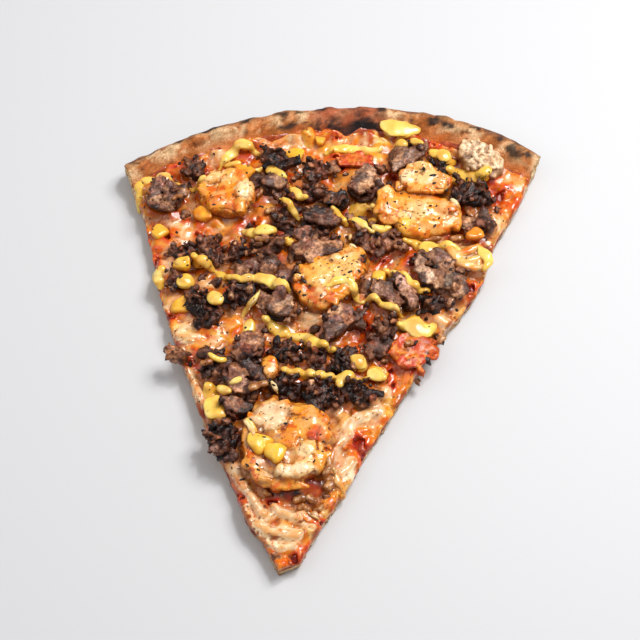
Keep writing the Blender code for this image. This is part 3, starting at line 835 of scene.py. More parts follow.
def make_cheese():
    zs = np.arange(3.0, 19.01, LAYER_STEP)
    bottom = np.maximum(crust_top - 0.2, 4.9)
    field = layer_field(cheese_top, bottom, zs, 0.45, 61)
    mesh, points = plan_mesh("cheese_layer", field, zs, 0.14)
    x, y, z, deep, n2, n3 = surveyed(mesh, points, 4, (3.2, 3, 63), (1.4, 2, 64))
    n1 = rough(x, y, 0, 9, 3, 62)
    colour = np.stack([read(blob_tone[:, :, k], x, y) for k in range(3)], 1)
    colour = mix(colour, ORANGE, ramp(n1 + 0.5 * n2, 0.15, 0.7) * 0.55)
    for cx, cy, rx, ry, turn, tone, strength in STAINS:
        share = ramp(ellipse(x, y, cx, cy, rx, ry, turn) + 0.5 * n2 + 0.3 * n3, 1.15, 0.6)
        colour = mix(colour, tone, share * strength * 0.68)
    pool = read(pools, x, y)
    colour = coats(
        colour,
        (ORANGE, ramp(pool + 0.25 * n2, 2.3, 1.0) * 0.65),
        (rgb(214, 92, 30), ramp(pool + 0.5 * n3, 1.3, 0.6) * 0.7),
        (rgb(150, 34, 16), ramp(pool + 0.6 * n3, 0.7, 0.1) * 0.7),
        (PALE, ramp(read(folds, x, y) + 0.6 * n2, 0.5, 1.5) * 0.8))
    for size, width in ((6.0, 0.05), (3.4, 0.07)):
        vein = np.abs(noise(x + 1.8 * n2, y - 1.8 * n2, 0, size, 67))
        share = ramp(vein, width, width * 0.25) * ramp(rough(x, y, 0, 7, 2, 68), -0.25, 0.2)
        colour = mix(colour, rgb(206, 106, 34), share * 0.8)
    toast = ramp(rough(x, y, 0, 6, 2, 65), -0.2, 0.4) * (1 - ramp(-y, 60, 70)) + ramp(-y, 60, 70)
    browned = ramp(n3 + 0.5 * n2 - deep, 0.42, 0.72) * toast
    colour = mix(colour, rgb(172, 90, 36), browned * 0.75)
    colour = mix(colour, BROWN, ramp(browned, 0.7, 1.0) * ramp(n3, 0.3, 0.8) * 0.7)
    # Painted shade, dark orange, in the creases of the cheese, and a painted highlight on its
    # bumps.
    colour = mix(colour, colour * np.array([0.86, 0.50, 0.18]), ramp(deep, 0.02, 0.24) * 0.85)
    colour = mix(colour, rgb(254, 232, 184), ramp(-deep, 0.08, 0.30) * 0.5)
    juice = ramp(read(near_beef, x, y) + 1.5 * n2, 2.4, -0.4)
    colour = mix(colour, rgb(186, 106, 40), juice * 0.45)
    edge = ramp(read(CUT, x, y), 1.2, 0.4)
    colour = mix(colour, rgb(150, 74, 34), edge * ramp(rough(x, y, z, 4, 3, 66), 0.0, 0.45) * 0.85)
    finish_piece(mesh, colour, CHEESE, "melted_cheese", "melted_cheese")


make_crust()
make_sauce()
make_cheese()

# ---------------------------------------------------------------- toppings

TOP = np.maximum(crust_top, cheese_top)
TOP = np.where(np.minimum(CUT, INSET) < -0.3, 0.0, TOP)


def raise_top(points):
    """Notes the height of a piece, so that what lies on it can follow it."""
    ix = np.clip(((points[:, 0] - XS[0]) / LAYER_STEP).round().astype(int), 1, len(XS) - 2)
    iy = np.clip(((points[:, 1] - YS[0]) / LAYER_STEP).round().astype(int), 1, len(YS) - 2)
    for di, dj in ((0, 0), (1, 0), (-1, 0), (0, 1), (0, -1)):
        np.maximum.at(TOP, (ix + di, iy + dj), points[:, 2])


def lay(points, *piece):
    """Adds a piece to the slice and notes its height."""
    finish_piece(*piece)
    raise_top(points)


class Grid:
    """A small box of points around a piece, in which its shape is worked out."""

    def __init__(self, low, high, step=PIECE_STEP):
        self.low = np.array(low, float)
        self.step = step
        axes = [np.arange(a, b + step, step) for a, b in zip(low, high)]
        self.x = axes[0][:, None, None]
        self.y = axes[1][None, :, None]
        self.z = axes[2][None, None, :]
        self.field = np.full([len(a) for a in axes], 5.0)

    def add(self, distance, fillet=0.5):
        self.field = soft_min(self.field, distance, fillet)

    def blob(self, at, radii, turn=0.0, tilt=0.0, fillet=0.5):
        """Adds an ellipsoid, turned about Z and then tilted along its length."""
        c, s = math.cos(turn), math.sin(turn)
        dx, dy, dz = self.x - at[0], self.y - at[1], self.z - at[2]
        along, across = dx * c + dy * s, dy * c - dx * s
        ct, st = math.cos(tilt), math.sin(tilt)
        along, up = along * ct + dz * st, dz * ct - along * st
        size = np.sqrt((along / radii[0]) ** 2 + (across / radii[1]) ** 2 + (up / radii[2]) ** 2)
        self.add((size - 1) * min(radii), fillet)

    def noise(self, size, seed=0):
        return noise(self.x, self.y, self.z, size, seed)

    def shell(self, adaptivity):
        """The points and faces of the shape, closed at the sides of the box."""
        for axis in range(3):
            for end in (0, -1):
                np.moveaxis(self.field, axis, 0)[end] = 1.0
        return surface(self.field, self.low, self.step, adaptivity)

    def mesh(self, name, adaptivity=0.15):
        points, faces = self.shell(adaptivity)
        return face_mesh(name, points, faces), points


def joined(name, shells):
    """One mesh of several shells, each with its points and faces, and all its points."""
    starts = np.cumsum([0] + [len(points) for points, _ in shells])
    faces = [np.concatenate([found[k] + start for (_, found), start in zip(shells, starts)])
             for k in range(2)]
    points = np.concatenate([points for points, _ in shells])
    return face_mesh(name, points, faces), points


def lump_grid(lump, above=2.0, around=1.5, step=PIECE_STEP):
    return Grid((*(lump.low[:2] - around), lump.floor - 1.5),
                (*(lump.high[:2] + around), lump.high[2] + above), step)


def box_grid(x, y, reach, low, high):
    return Grid((x - reach, y - reach, low), (x + reach, y + reach, high))


def slab(grid, lump, seed, grow, share, wave, round_off=2.4, uneven=1.0):
    """Distance to a low piece over the lump's outline, with wavy sides and an uneven top."""
    edge = (lump.outline(grid.x, grid.y) - grow
            + wave * noise(grid.x, grid.y, grid.z * 0.6, 4.6, seed)
            + 0.6 * wave * noise(grid.x, grid.y, grid.z * 0.6, 2.1, seed + 1))
    level = 1 + 0.30 * uneven * noise(grid.x, grid.y, 0, 5.2, seed + 2)
    level = level + 0.16 * uneven * noise(grid.x, grid.y, 0, 2.4, seed + 3)
    body = soft_max(grid.z - lump.floor - lump.height * share * level, edge, round_off)
    return np.maximum(body, lump.floor - 1.2 - grid.z)


def creases(grid, size, depth, width, seed):
    """Cuts a net of crevices into the piece."""
    near = np.abs(noise(grid.x, grid.y, grid.z, size, seed))
    grid.field = grid.field + depth * np.clip(1 - near / width, 0, 1)


def inside_spots(lump, rand, spacing, margin):
    """Scattered places inside a lump's outline."""
    for px in np.arange(lump.low[0] - 1, lump.high[0] + 1, spacing):
        for py in np.arange(lump.low[1] - 1, lump.high[1] + 1, spacing):
            x, y = np.array([px, py]) + rand.uniform(-0.5, 0.5, 2) * spacing
            if float(lump.outline(x, y)) < margin:
                yield x, y


def ragged(rand, x, y, length, width, turn, count=8):
    """The corners of an uneven outline round a place."""
    ways = (np.arange(count) + rand.uniform(-0.35, 0.35, count)) * 2 * math.pi / count
    reach = rand.uniform(0.62, 1.12, count)
    u, v = np.cos(ways) * length * reach, np.sin(ways) * width * reach
    c, s = math.cos(turn), math.sin(turn)
    return np.stack([x + u * c - v * s, y + u * s + v * c], 1)


def flake(grid, corners, level, thickness, seed, slope=(0.0, 0.0), wave=0.5, round_off=0.8,
          grain=0.0, torn=1.0, droop=0.10):
    """Distance to a torn flake: an outline with a thickness, tilted, waved, ridged along its grain
    and bent down at its edge."""
    x, y = grid.x[:, :, 0], grid.y[:, :, 0]
    corners = np.asarray(corners, float)
    out = polygon_distance(corners, x, y)
    out = out + torn * (0.45 * noise(x, y, 0, 2.3, seed) + 0.26 * noise(x, y, 0, 1.1, seed + 1))
    cx, cy = corners.mean(0)
    mid = level + slope[0] * (x - cx) + slope[1] * (y - cy) + wave * noise(x, y, 0, 4.3, seed + 2)
    mid = mid - droop * np.clip(out + 2.5, 0, 4) ** 2
    mid = mid + 0.42 * fibre(x, y, 0, grain, 1.35, seed + 4) + 0.30 * noise(x, y, 0, 1.7, seed + 3)
    steep = 1 / math.sqrt(1 + slope[0] ** 2 + slope[1] ** 2)
    sheet = np.abs(grid.z - mid[:, :, None]) * steep - thickness
    return soft_max(out[:, :, None], sheet, round_off)


def tones(*colours):
    return [rgb(*colour) for colour in colours]


CRUMBLE_TONES = tones((136, 98, 74), (160, 120, 92), (114, 78, 60), (88, 60, 48), (148, 110, 92),
                      (60, 42, 38), (132, 78, 56))
CHAR_TONES = tones((78, 52, 42), (104, 70, 54), (52, 36, 34), (128, 90, 68), (38, 28, 30),
                   (92, 62, 52))
SHAVING_TONES = tones((164, 130, 104), (142, 108, 86), (182, 150, 124), (120, 90, 74),
                      (96, 72, 62), (140, 104, 94))
BEEF_KINDS = {"beef_crumble": CRUMBLE_TONES, "beef_char": CHAR_TONES,
              "beef_shaving": SHAVING_TONES}

# The large flakes that stand out: corners, lift above the middle of the piece, half thickness,
# tone, and the direction of the grain in degrees.
FLAKES = {
    "beef_shaving_01": [
        ([(-71, 57), (-68, 58), (-66, 52), (-67.5, 46), (-71.5, 47)], 1.6, 0.9, (128, 96, 92), 80),
        ([(-65, 57), (-62, 57.5), (-60, 50), (-62.5, 45), (-65, 48)], 1.5, 0.9, (112, 82, 80), 95),
        ([(-72, 47), (-62, 46.5), (-60, 43.5), (-66, 42.5), (-71, 44)], 0.8, 0.8, (136, 104, 92),
          0)],
    "beef_shaving_07": [
        ([(-8, 39), (-2.5, 41), (3.5, 38), (5, 34), (-8, 34)], 0.6, 0.7, (150, 116, 92), 20),
        ([(-13, 31.5), (-9.5, 35), (-3, 36), (4, 35.5), (9.5, 31.5), (5, 30), (2, 28.5), (0.5, 25),
          (-3.5, 23.8), (-5.5, 26.5), (-9, 28)], 1.6, 0.9, (176, 138, 116), 30)],
    "beef_shaving_11": [
        ([(9, -6), (13, -2), (19, 3), (21, 9), (15, 6), (10, 0)], 0.2, 0.8, (164, 118, 88), 45),
        ([(4.3, -4), (4, 1), (6, 5.5), (10, 8.5), (14.5, 8), (16, 4.5), (13, 0), (9.5, -4),
          (8.5, -8.5), (6.5, -10.5)], 1.6, 0.8, (136, 106, 106), -30)],
    "beef_shaving_12": [
        ([(20.5, 17), (22, 21), (26, 21.5), (29, 18), (28, 13.5), (23, 12)], 1.4, 0.8,
          (154, 122, 104), 60),
        ([(28, 18), (31, 16), (35, 11), (32, 9.5), (28, 12)], 1.2, 0.8, (160, 126, 108), -50)],
    "beef_shaving_13": [
        ([(29, 24), (33.5, 24.5), (36, 20), (38, 15), (36, 12), (32, 16)], 1.6, 0.8,
          (196, 160, 150), -60),
        ([(35, 17), (38, 20), (40.5, 13), (40, 9), (37, 9.5)], 1.2, 0.8, (158, 128, 118), -60)],
    "beef_shaving_14": [
        ([(34, 31), (38, 34.5), (45, 35), (53, 31), (55, 27), (48, 28), (41, 30)], 0.6, 0.8,
          (128, 112, 98), -20),
        ([(40, 35), (46, 37.5), (51, 35), (55, 31), (51, 30.5), (45, 33)], 1.9, 0.7, (112, 82, 64),
          -30)],
    "beef_shaving_15": [
        ([(44, 31), (50, 31), (58.5, 26), (59, 18), (55, 15), (51, 19), (46, 26)], 0.5, 0.9,
          (120, 108, 98), -35),
        ([(37.5, 26), (40, 29.5), (44, 28), (52, 24.5), (56, 21), (53, 18.5), (47, 19), (41, 21)],
          1.5, 0.8, (204, 178, 160), -25),
        ([(37, 30), (39, 33), (42, 31), (40.5, 27), (38, 26)], 1.7, 0.8, (186, 164, 142), 60)],
    "beef_shaving_16": [
        ([(-30, -22), (-26, -20.5), (-21, -23), (-20, -26), (-25, -27), (-29, -25)], 1.3, 0.9,
          (150, 112, 80), -20),
        ([(-32.5, -26), (-29, -24.8), (-23, -26.5), (-17, -28.5), (-16, -31), (-20, -33.5),
          (-26, -33), (-31, -29)], 1.2, 1.2, (172, 142, 128), -20)],
    "beef_char_11": [
        ([(-30, -16.5), (-26.5, -15), (-21, -19.5), (-15, -24.5), (-12.5, -29), (-16, -31),
          (-22, -25), (-27, -20.5)], 1.4, 1.2, (52, 38, 42), -42)],
    "beef_char_05": [
        ([(-9.5, 47), (-6.5, 52), (-1, 52.5), (4, 50), (7.5, 47), (5, 43.5), (-2, 43.5),
          (-8, 44.5)], 1.4, 1.1, (50, 42, 50), 0)],
    "beef_char_01": [
        ([(-3, 57), (1, 59.5), (7, 60.5), (8.8, 57.5), (5, 53.5), (0, 53)], 1.3, 0.9, (38, 34, 42),
          20)],
    "beef_crumble_11": [
        ([(-29.5, -13), (-27, -8), (-22.5, -6.5), (-17.5, -8), (-16.5, -13), (-18, -18),
          (-23, -19.5), (-28, -17)], 1.4, 1.0, (158, 124, 104), 30),
        ([(-24, -9), (-19.5, -9), (-17.5, -13), (-20, -16.5), (-24, -14)], 2.6, 0.7,
          (176, 140, 116), 70)],
    "beef_crumble_15": [
        ([(-30.5, -37), (-26, -34.5), (-21, -35.5), (-17.5, -38), (-20, -41.5), (-27, -42)], 1.2,
          1.4, (140, 114, 108), 10)],
    "beef_shaving_02": [
        ([(-28.5, 63), (-24, 66), (-18, 65.5), (-16.5, 61), (-20, 58), (-26, 59)], 1.3, 1.2,
          (112, 90, 92), 0)],
    "beef_shaving_03": [
        ([(8, 62), (10, 70), (15, 74), (19, 72), (18, 64), (13, 59)], 1.3, 1.4, (108, 84, 74), 60)],
    "beef_shaving_04": [
        ([(23.5, 76), (27, 80), (33, 85.5), (38.5, 88), (39, 83), (34, 77), (28, 73)], 1.3, 1.2,
          (142, 120, 112), 50),
        ([(24, 73), (27, 79), (30, 79), (29, 73), (26, 71)], 1.7, 1.0, (156, 134, 124), 60)],
    "beef_shaving_10": [
        ([(-19, 4), (-16, 9.5), (-10, 10.5), (-7, 6), (-9, 0.5), (-15, 0)], 1.4, 1.1,
          (168, 136, 110), 40)],
}


def fibre(x, y, z, degrees, size, seed):
    """Noise drawn out along one direction, as the grain of meat."""
    along, across = turned(x, y, degrees)
    return noise(along / 4, across, z, size, seed)


def meat(lump, rand, seed, kind):
    """A piece of beef: a low core, crumbs over it, and its flakes on top. Gives the grid, and a
    list of the crumbs and flakes with their middles, tones and grains."""
    grid = lump_grid(lump, around=4.0)
    parts = []
    palette = BEEF_KINDS[kind]
    grid.add(slab(grid, lump, seed, -0.9, 0.38, 1.2))
    coarse = {"beef_shaving": 1.4, "beef_char": 0.9}.get(kind, 1.1)
    beyond = read(CUT, *lump.middle[:, None])[0] < 2
    layers = [(0.30, 4.2, 0.5, 1.0), (0.56, 3.8, 0.2, 0.45), (0.72, 5.0, -1.5, 1.0)]
    if kind != "beef_shaving":
        layers[2] = (0.70, 3.4, -1.0, 0.55)
    for level, spacing, margin, share in layers:
        if beyond:
            share, margin = share * 0.6, margin - 1.4
        for x, y in inside_spots(lump, rand, spacing * coarse, margin):
            size = rand.uniform(2.0, 3.7) * coarse * share
            z = lump.floor + lump.height * level * rand.uniform(0.8, 1.15) - 0.2
            thick = rand.uniform(0.6, 1.1) * (0.6 + 0.4 * share)
            length, width = size * rand.uniform(1.0, 1.4), size * rand.uniform(0.55, 0.9)
            corners = ragged(rand, x, y, length, width, rand.uniform(0, math.pi), 8)
            own_seed, grain = seed + 3 * len(parts), rand.uniform(0, 180)
            piece = flake(grid, corners, z, thick, own_seed, rand.uniform(-0.5, 0.5, 2), 0.6, 0.4,
                          grain)
            grid.add(piece, 0.15)
            tone = palette[rand.integers(len(palette))] * rand.uniform(0.85, 1.2)
            parts.append(((x, y, z), tone, grain))
    for corners, lift, thick, tone, grain in FLAKES.get(lump.name, []):
        z = lump.floor + lump.height * 0.5 + lift
        piece = flake(grid, corners, z, thick * 0.8, seed + 50 + len(parts),
                      rand.uniform(-0.10, 0.10, 2), 0.9, 0.5, grain, 1.7, 0.05)
        grid.add(piece, 0.2)
        middle = np.array(corners).mean(0)
        parts.append(((*middle, z + thick + 1.5), rgb(*tone), grain))
    creases(grid, 2.6, 0.34, 0.12, seed + 1)
    grid.field -= 0.20 * grid.noise(1.4, seed + 2)
    return grid, parts


def meat_colour(mesh, points, parts, charred, seed):
    """Each crumb and flake in its own tone, with painted shade in the crevices and a painted
    highlight on the edges.
    """
    x, y, z = points.T
    deep, fine = hollows(mesh, points, 5), hollows(mesh, points, 2)
    places = np.array([part[0] for part in parts])
    away = ((points[:, None, :] - places[None]) ** 2).sum(2)
    nearest = away.argmin(1)
    colour = np.array([part[1] for part in parts])[nearest]
    n1, n2 = rough(x, y, z, 4.5, 3, seed), rough(x, y, z, 1.6, 2, seed + 1)
    n3 = noise(x, y, z, 0.9, seed)
    colour = colour * (1 + 0.28 * n2 + 0.16 * n3)[:, None]
    for k, (_, _, grain) in enumerate(parts):
        mine = nearest == k
        if mine.any():
            lines = fibre(x[mine], y[mine], z[mine], grain, 0.9, seed + 7)
            colour[mine] = colour[mine] * (1 + 0.34 * lines)[:, None]
    colour = colour * np.array([1.02, 0.98, 0.92])
    colour = mix(colour, colour * np.array([1.16, 0.80, 0.60]), ramp(n1, 0.10, 0.6) * 0.42)
    colour = mix(colour, colour * np.array([0.90, 0.80, 0.94]), ramp(-n1, 0.15, 0.6) * 0.7)
    # Painted highlight: lighter on the ridges and edges.
    colour = mix(colour, np.minimum(colour * 1.6, 0.7), ramp(-deep, 0.03, 0.3) * 0.5)
    # Painted glints: pale fatty spots on the small bumps, where the fat shines.
    light = ramp(n3 - 0.5 * n1, 0.50, 0.85) * ramp(-fine, 0.0, 0.08)
    colour = mix(colour, rgb(206, 168, 136), light * 0.55)
    char = ramp(n1 + 0.5 * n2 + charred - 0.95, -0.05, 0.25)
    colour = mix(colour, CHAR, char * 0.85)
    # Painted shade in the fine hollows and, darker still, in the deep crevices.
    colour = mix(colour, colour * np.array([0.54, 0.38, 0.28]), ramp(fine, 0.01, 0.10) * 0.75)
    colour = mix(colour, colour * np.array([0.20, 0.10, 0.05]), ramp(deep, 0.08, 0.48))
    return colour, 0.7 + 0.4 * noise(x, y, z, 3, seed + 2)


def make_beef():
    """All the pieces of beef, each in the place of its CAD lump."""
    for k, lump in enumerate(LUMPS):
        kind = lump.name.rsplit("_", 1)[0]
        if kind not in BEEF_KINDS:
            continue
        rand = np.random.default_rng(100 + k)
        seed = 70 + 3 * k
        grid, parts = meat(lump, rand, seed, kind)
        mesh, points = grid.mesh(lump.name + "_meat")
        charred = 0.56 if kind == "beef_char" and lump.middle[1] > -40 else 0.3
        colour, wet = meat_colour(mesh, points, parts, charred, seed)
        lay(points, mesh, colour, BEEF, lump.name, kind, wet)


make_beef()

G_PALE, G_CREAM, G_LIGHT = tones((251, 220, 160), (250, 204, 124), (248, 188, 84))
G_GOLD, G_TAN, G_ORANGE = tones((245, 172, 56), (232, 174, 106), (236, 142, 30))
G_DEEP, G_RED, G_BROWN = tones((204, 98, 20), (200, 70, 22), (140, 72, 28))
G_YELLOW = rgb(250, 192, 34)
# Each prawn: its share of the CAD height, then its lobes (middle, half length, half width, turn,
# lift, colour) and patches of colour (middle, half length, half width, turn, colour). The G_PALE
# patches of prawn_03 and prawn_04, and the near-white yellow one of prawn_03, are painted
# highlights.
PRAWNS = {
    "prawn_01": (0.66, [
        (-39.5, 55, 10, 9, 30, 0.0, G_GOLD), (-46, 61, 6, 2.8, 32, 0.9, G_CREAM),
        (-38.5, 62.3, 5.8, 3.3, -10, 0.9, G_LIGHT), (-33.2, 55, 4.6, 6.4, 0, 1.2, G_PALE),
        (-42.8, 50.3, 6.2, 4.4, 10, 0.8, G_ORANGE), (-34.2, 48.3, 2.8, 3.6, 0, 0.3, G_GOLD)], [
        (-45, 55.8, 5, 1.5, 5, G_DEEP), (-38, 57.5, 3.4, 0.8, 45, G_ORANGE),
        (-38.2, 52.5, 3, 3, 0, G_ORANGE), (-41, 61, 4, 1.3, 20, G_CREAM),
        (-36.8, 48, 0.6, 3, 10, G_DEEP), (-40, 47, 3, 1.6, 0, G_GOLD)]),
    "prawn_02": (0.70, [
        (38.5, 69, 10.5, 6.2, -8, 0.2, G_CREAM), (31.2, 68.5, 3.4, 4.6, 0, 0.7, G_PALE),
        (34.5, 74.8, 4.6, 2.4, 10, 0.8, G_LIGHT), (38, 73.6, 1.9, 1.7, 0, 1.2, G_CREAM),
        (45.8, 68.5, 4.6, 4.2, 0, 0.6, G_TAN), (37, 64.2, 6, 2.4, -5, 0.5, G_CREAM),
        (28, 65.3, 2.5, 2.6, 0, -0.7, rgb(214, 164, 124))], [
        (36, 71, 3, 1, -10, G_GOLD), (40.5, 68.6, 2, 1, 0, G_GOLD), (42, 63, 5, 1, -5, G_ORANGE)]),
    "prawn_03": (0.60, [
        (37, 54, 16.5, 9.5, -3, 0.0, G_CREAM), (24.3, 61.5, 4.2, 3.6, 0, 0.7, G_LIGHT),
        (24.8, 54.5, 4.8, 4.8, 0, 0.6, G_ORANGE), (33.5, 46.3, 4.8, 3.8, -15, 0.9, G_YELLOW),
        (36.5, 55.5, 6.8, 4.6, 0, 0.6, G_CREAM), (47.5, 56.8, 5.2, 3.6, -10, 0.6, G_TAN),
        (43, 48.6, 4.8, 3.4, 20, 0.5, G_GOLD), (24.3, 49, 2.8, 1.7, -30, -0.8, G_BROWN)], [
        (30, 57, 5, 5, 0, G_GOLD), (51.8, 53.3, 2.0, 3.1, 15, G_BROWN),
        (34, 60.8, 7, 1.3, -5, G_ORANGE), (45, 61, 6, 1.2, -5, G_ORANGE),
        (22, 62.8, 1.6, 1.8, 0, G_PALE), (42, 56.5, 4, 1.6, 25, G_GOLD),
        (34, 47, 2, 1.2, -50, rgb(255, 228, 120)), (47, 50, 2.5, 1.2, -40, G_ORANGE)]),
    "prawn_04": (0.80, [
        (2, 18, 9, 7, 25, 0.2, G_LIGHT), (12.6, 25, 7, 7, 40, 0.3, G_LIGHT),
        (-7.3, 17.4, 2.2, 2.2, 0, 0.5, G_CREAM), (7, 27.6, 3.2, 2.3, 20, 1.0, G_CREAM),
        (1, 10.6, 7, 3.2, -15, -0.5, G_DEEP), (-6.2, 12.8, 3.4, 2.6, -45, -0.4, G_ORANGE)], [
        (8.5, 12.5, 5, 2.6, 35, G_ORANGE), (14.5, 18.5, 2.4, 4, -20, G_ORANGE),
        (0, 9.6, 6, 1.5, -10, rgb(186, 84, 22)), (17.8, 23, 1.6, 5, -5, G_ORANGE),
        (19.6, 29.5, 1.6, 2.6, 0, G_LIGHT), (11, 29.5, 2.2, 1.4, 10, G_PALE),
        (4, 9, 5, 1.8, 25, G_DEEP), (-2.8, 12.2, 2.8, 1.6, -50, G_DEEP),
        (17.4, 28.3, 2.2, 3, -10, G_BROWN), (17.5, 28.4, 1.3, 2.1, -10, CHAR),
        (-4.9, 15.9, 2.3, 0.8, -45, CHAR), (1.5, 12.4, 1.6, 0.8, -30, G_PALE)]),
    "prawn_05": (0.64, [
        (-3, -52, 14, 15, 0, 0.0, G_GOLD), (-10.5, -42, 8.4, 7.2, 20, 1.7, G_PALE),
        (4, -41.5, 7.4, 5, -15, 1.0, G_GOLD), (7.5, -48, 4.6, 3.3, -5, 0.5, rgb(222, 104, 30)),
        (-3, -49.5, 3.5, 4.7, 10, 0.9, rgb(240, 156, 50)), (3.5, -55, 5.2, 4.5, 0, 1.1, G_CREAM),
        (8.6, -57, 2.5, 6, 0, 0.5, G_GOLD), (0, -63.3, 8.0, 3.2, 12, 1.7, G_PALE),
        (-11.5, -66, 5.2, 2.7, -20, 0.6, rgb(226, 186, 140)),
        (-15, -61.5, 5.4, 3.4, 0, -0.1, rgb(208, 130, 56)), (-18, -53, 2.5, 6.5, 10, 0.0, G_TAN),
        (-2, -68.4, 8, 2.0, 5, -1.0, rgb(192, 128, 70))], [
        (-10.5, -52, 4, 4, 0, rgb(198, 134, 50)), (-13, -41, 1.2, 0.7, 0, G_GOLD),
        (-9, -41.6, 1.2, 0.5, 0, G_GOLD), (-15.5, -42.5, 0.9, 0.9, 0, G_GOLD),
        (-6, -37.4, 3.4, 1.3, 20, G_ORANGE), (-3.5, -43, 1.8, 0.8, -40, G_ORANGE),
        (-5.6, -47.5, 1.2, 2.4, 10, G_BROWN), (-3, -46, 2.6, 1.0, 0, G_DEEP),
        (5.4, -50, 2.4, 0.9, 0, rgb(150, 62, 24)), (-14, -63, 4, 1.4, 10, G_BROWN),
        (1, -58, 4, 1.2, 10, G_ORANGE), (7.5, -48.4, 3.4, 1.6, -20, rgb(204, 84, 28)),
        (4, -40.5, 5, 2.4, 0, G_ORANGE), (-17, -58.5, 3, 4, 20, rgb(196, 118, 50))]),
    "prawn_06": (0.75, [
        (-14, -20.5, 3.7, 5.4, 5, 0.3, G_GOLD)], [
        (-13.4, -23.4, 3, 2.4, 0, G_PALE), (-13.5, -19, 1.2, 0.8, 0, G_RED)]),
}

# The smooth pale domes on the prawns: middle, half length, half width, turn and colour. They are
# pale in their own colour, and on the white ridge of prawn_05 and the top-left lobe of prawn_03
# they are painted highlights too.
DOMES = {
    "prawn_01": [
        (-33.4, 55.5, 3.4, 4.6, 0, rgb(254, 224, 172)),
        (-46, 61.4, 4.6, 1.5, 32, rgb(252, 214, 148))],
    "prawn_02": [
        (31.2, 69, 2.4, 3, 0, rgb(254, 230, 186)), (37.5, 68.8, 5, 3.4, -8, rgb(250, 214, 148)),
        (35, 75.2, 3.6, 1.5, 10, rgb(250, 222, 168))],
    "prawn_03": [
        (37, 55.5, 4.4, 2.6, 0, rgb(248, 208, 146)), (23.8, 62.4, 2.2, 1.8, 0, rgb(253, 220, 150))],
    "prawn_04": [
        (2.5, 19.5, 3.4, 2.4, 40, rgb(251, 204, 124)), (13, 26, 2.4, 3, 40, rgb(250, 200, 116))],
    "prawn_05": [
        (-11, -42.6, 7.4, 5.4, 20, rgb(254, 224, 186)),
        (0.2, -63.4, 6.4, 2.0, 12, rgb(255, 228, 196)),
        (3.4, -55.4, 3.4, 2.8, 0, rgb(254, 222, 172))],
}


def prawn_grid(lump, share, lobes, seed):
    """A low body with smooth lobes on it, creased and a little uneven."""
    grid = lump_grid(lump, around=3.0)
    level = lump.floor + lump.height * share
    body = slab(grid, lump, seed, 0.3, share * 0.94, 1.2, 3.2, 0.4)
    grid.add(body, 0.3)
    for x, y, length, width, turn, lift, _ in lobes:
        out = ellipse(grid.x, grid.y, x, y, length, width, turn)
        top = 2.2 + 1.1 * lift
        size = np.sqrt(out ** 3.0 + np.abs((grid.z - level + 1.9) / top) ** 3.0) ** (2 / 3.0)
        grid.add((size - 1) * min(length, width, 2.2) + 0.25 * grid.noise(3.5, seed + 1), 0.45)
    creases(grid, 6.5, 0.40, 0.05, seed + 4)
    creases(grid, 3.2, 0.16, 0.09, seed + 9)
    grid.field -= 0.34 * grid.noise(3.0, seed + 5) + 0.08 * grid.noise(1.5, seed + 6)
    grid.field -= 0.5 * grid.noise(5.4, seed + 3)
    return grid


def prawn_colour(mesh, points, lump, share, lobes, patches, seed):
    """Each lobe and patch in its own colour, with a golden rim, fine lines and browned dots."""
    x, y, z, deep, n1, n2 = surveyed(mesh, points, 6, (6, 3, seed + 7), (2.0, 3, seed + 8))
    colour = np.repeat([G_GOLD], len(points), axis=0)
    for cx, cy, rx, ry, turn, _, tone in lobes:
        here = ramp(ellipse(x, y, cx, cy, rx, ry, turn) + 0.22 * n2 + 0.1 * n1, 1.12, 0.86)
        colour = mix(colour, tone, here)
    for cx, cy, rx, ry, turn, tone in patches:
        here = ramp(ellipse(x, y, cx, cy, rx, ry, turn) + 0.3 * n2, 1.15, 0.8)
        colour = mix(colour, tone, here * 0.9)
    colour = mix(colour, G_PALE, ramp(n1 - 0.4 * n2, 0.1, 0.7) * 0.35)
    colour = mix(colour, G_ORANGE, ramp(n2 - 0.5 * n1, 0.3, 0.8) * 0.5)
    rim = ramp(lump.outline(x, y) + 1.3 * n2 + 1.6 * n1, -2.8, -0.4)
    glaze = mix(G_GOLD, rgb(214, 102, 20), ramp(n2 + 0.4 * n1, -0.1, 0.6))
    colour = mix(colour, glaze, rim * 0.72)
    for size, width in ((5.0, 0.05), (2.6, 0.07)):
        line = np.abs(noise(x + 1.5 * n1, y - 1.5 * n1, z * 0.5, size, seed + 9))
        drawn = ramp(line, width, width * 0.2) * ramp(rough(x, y, z, 5, 2, seed + 11), -0.3, 0.2)
        colour = mix(colour, rgb(190, 84, 22), drawn * 0.8)
    side = ramp(z - lump.floor, lump.height * share * 0.5, 0.3)
    colour = coats(
        colour,
        (rgb(236, 148, 46), side * 0.75),
        # Painted shade in the hollows and a painted highlight on the bumps.
        (rgb(200, 98, 26), ramp(deep, 0.06, 0.40) * 0.75),
        (rgb(254, 222, 150), ramp(-deep, 0.08, 0.36) * 0.35))
    for cx, cy, rx, ry, turn, tone in DOMES.get(lump.name, ()):
        here = ramp(ellipse(x, y, cx, cy, rx, ry, turn) + 0.16 * n2, 1.15, 0.7)
        colour = mix(colour, tone, here * 0.78)
        fleck = ramp(rough(x, y, z, 2.2, 2, seed + 12), 0.42, 0.62)
        colour = mix(colour, rgb(240, 168, 74), here * fleck * 0.7)
    dots = ramp(rough(x, y, z, 1.4, 2, seed + 10), 0.74, 0.86)
    colour = mix(colour, G_BROWN * 0.6, dots * 0.85)
    return colour


def make_prawns():
    for k, (name, (share, lobes, patches)) in enumerate(PRAWNS.items()):
        lump = BY_NAME[name]
        seed = 300 + 9 * k
        mesh, points = prawn_grid(lump, share, lobes, seed).mesh(name + "_meat", 0.03)
        colour = prawn_colour(mesh, points, lump, share, lobes, patches, seed)
        lay(points, mesh, colour, PRAWN, name, "prawn")


make_prawns()


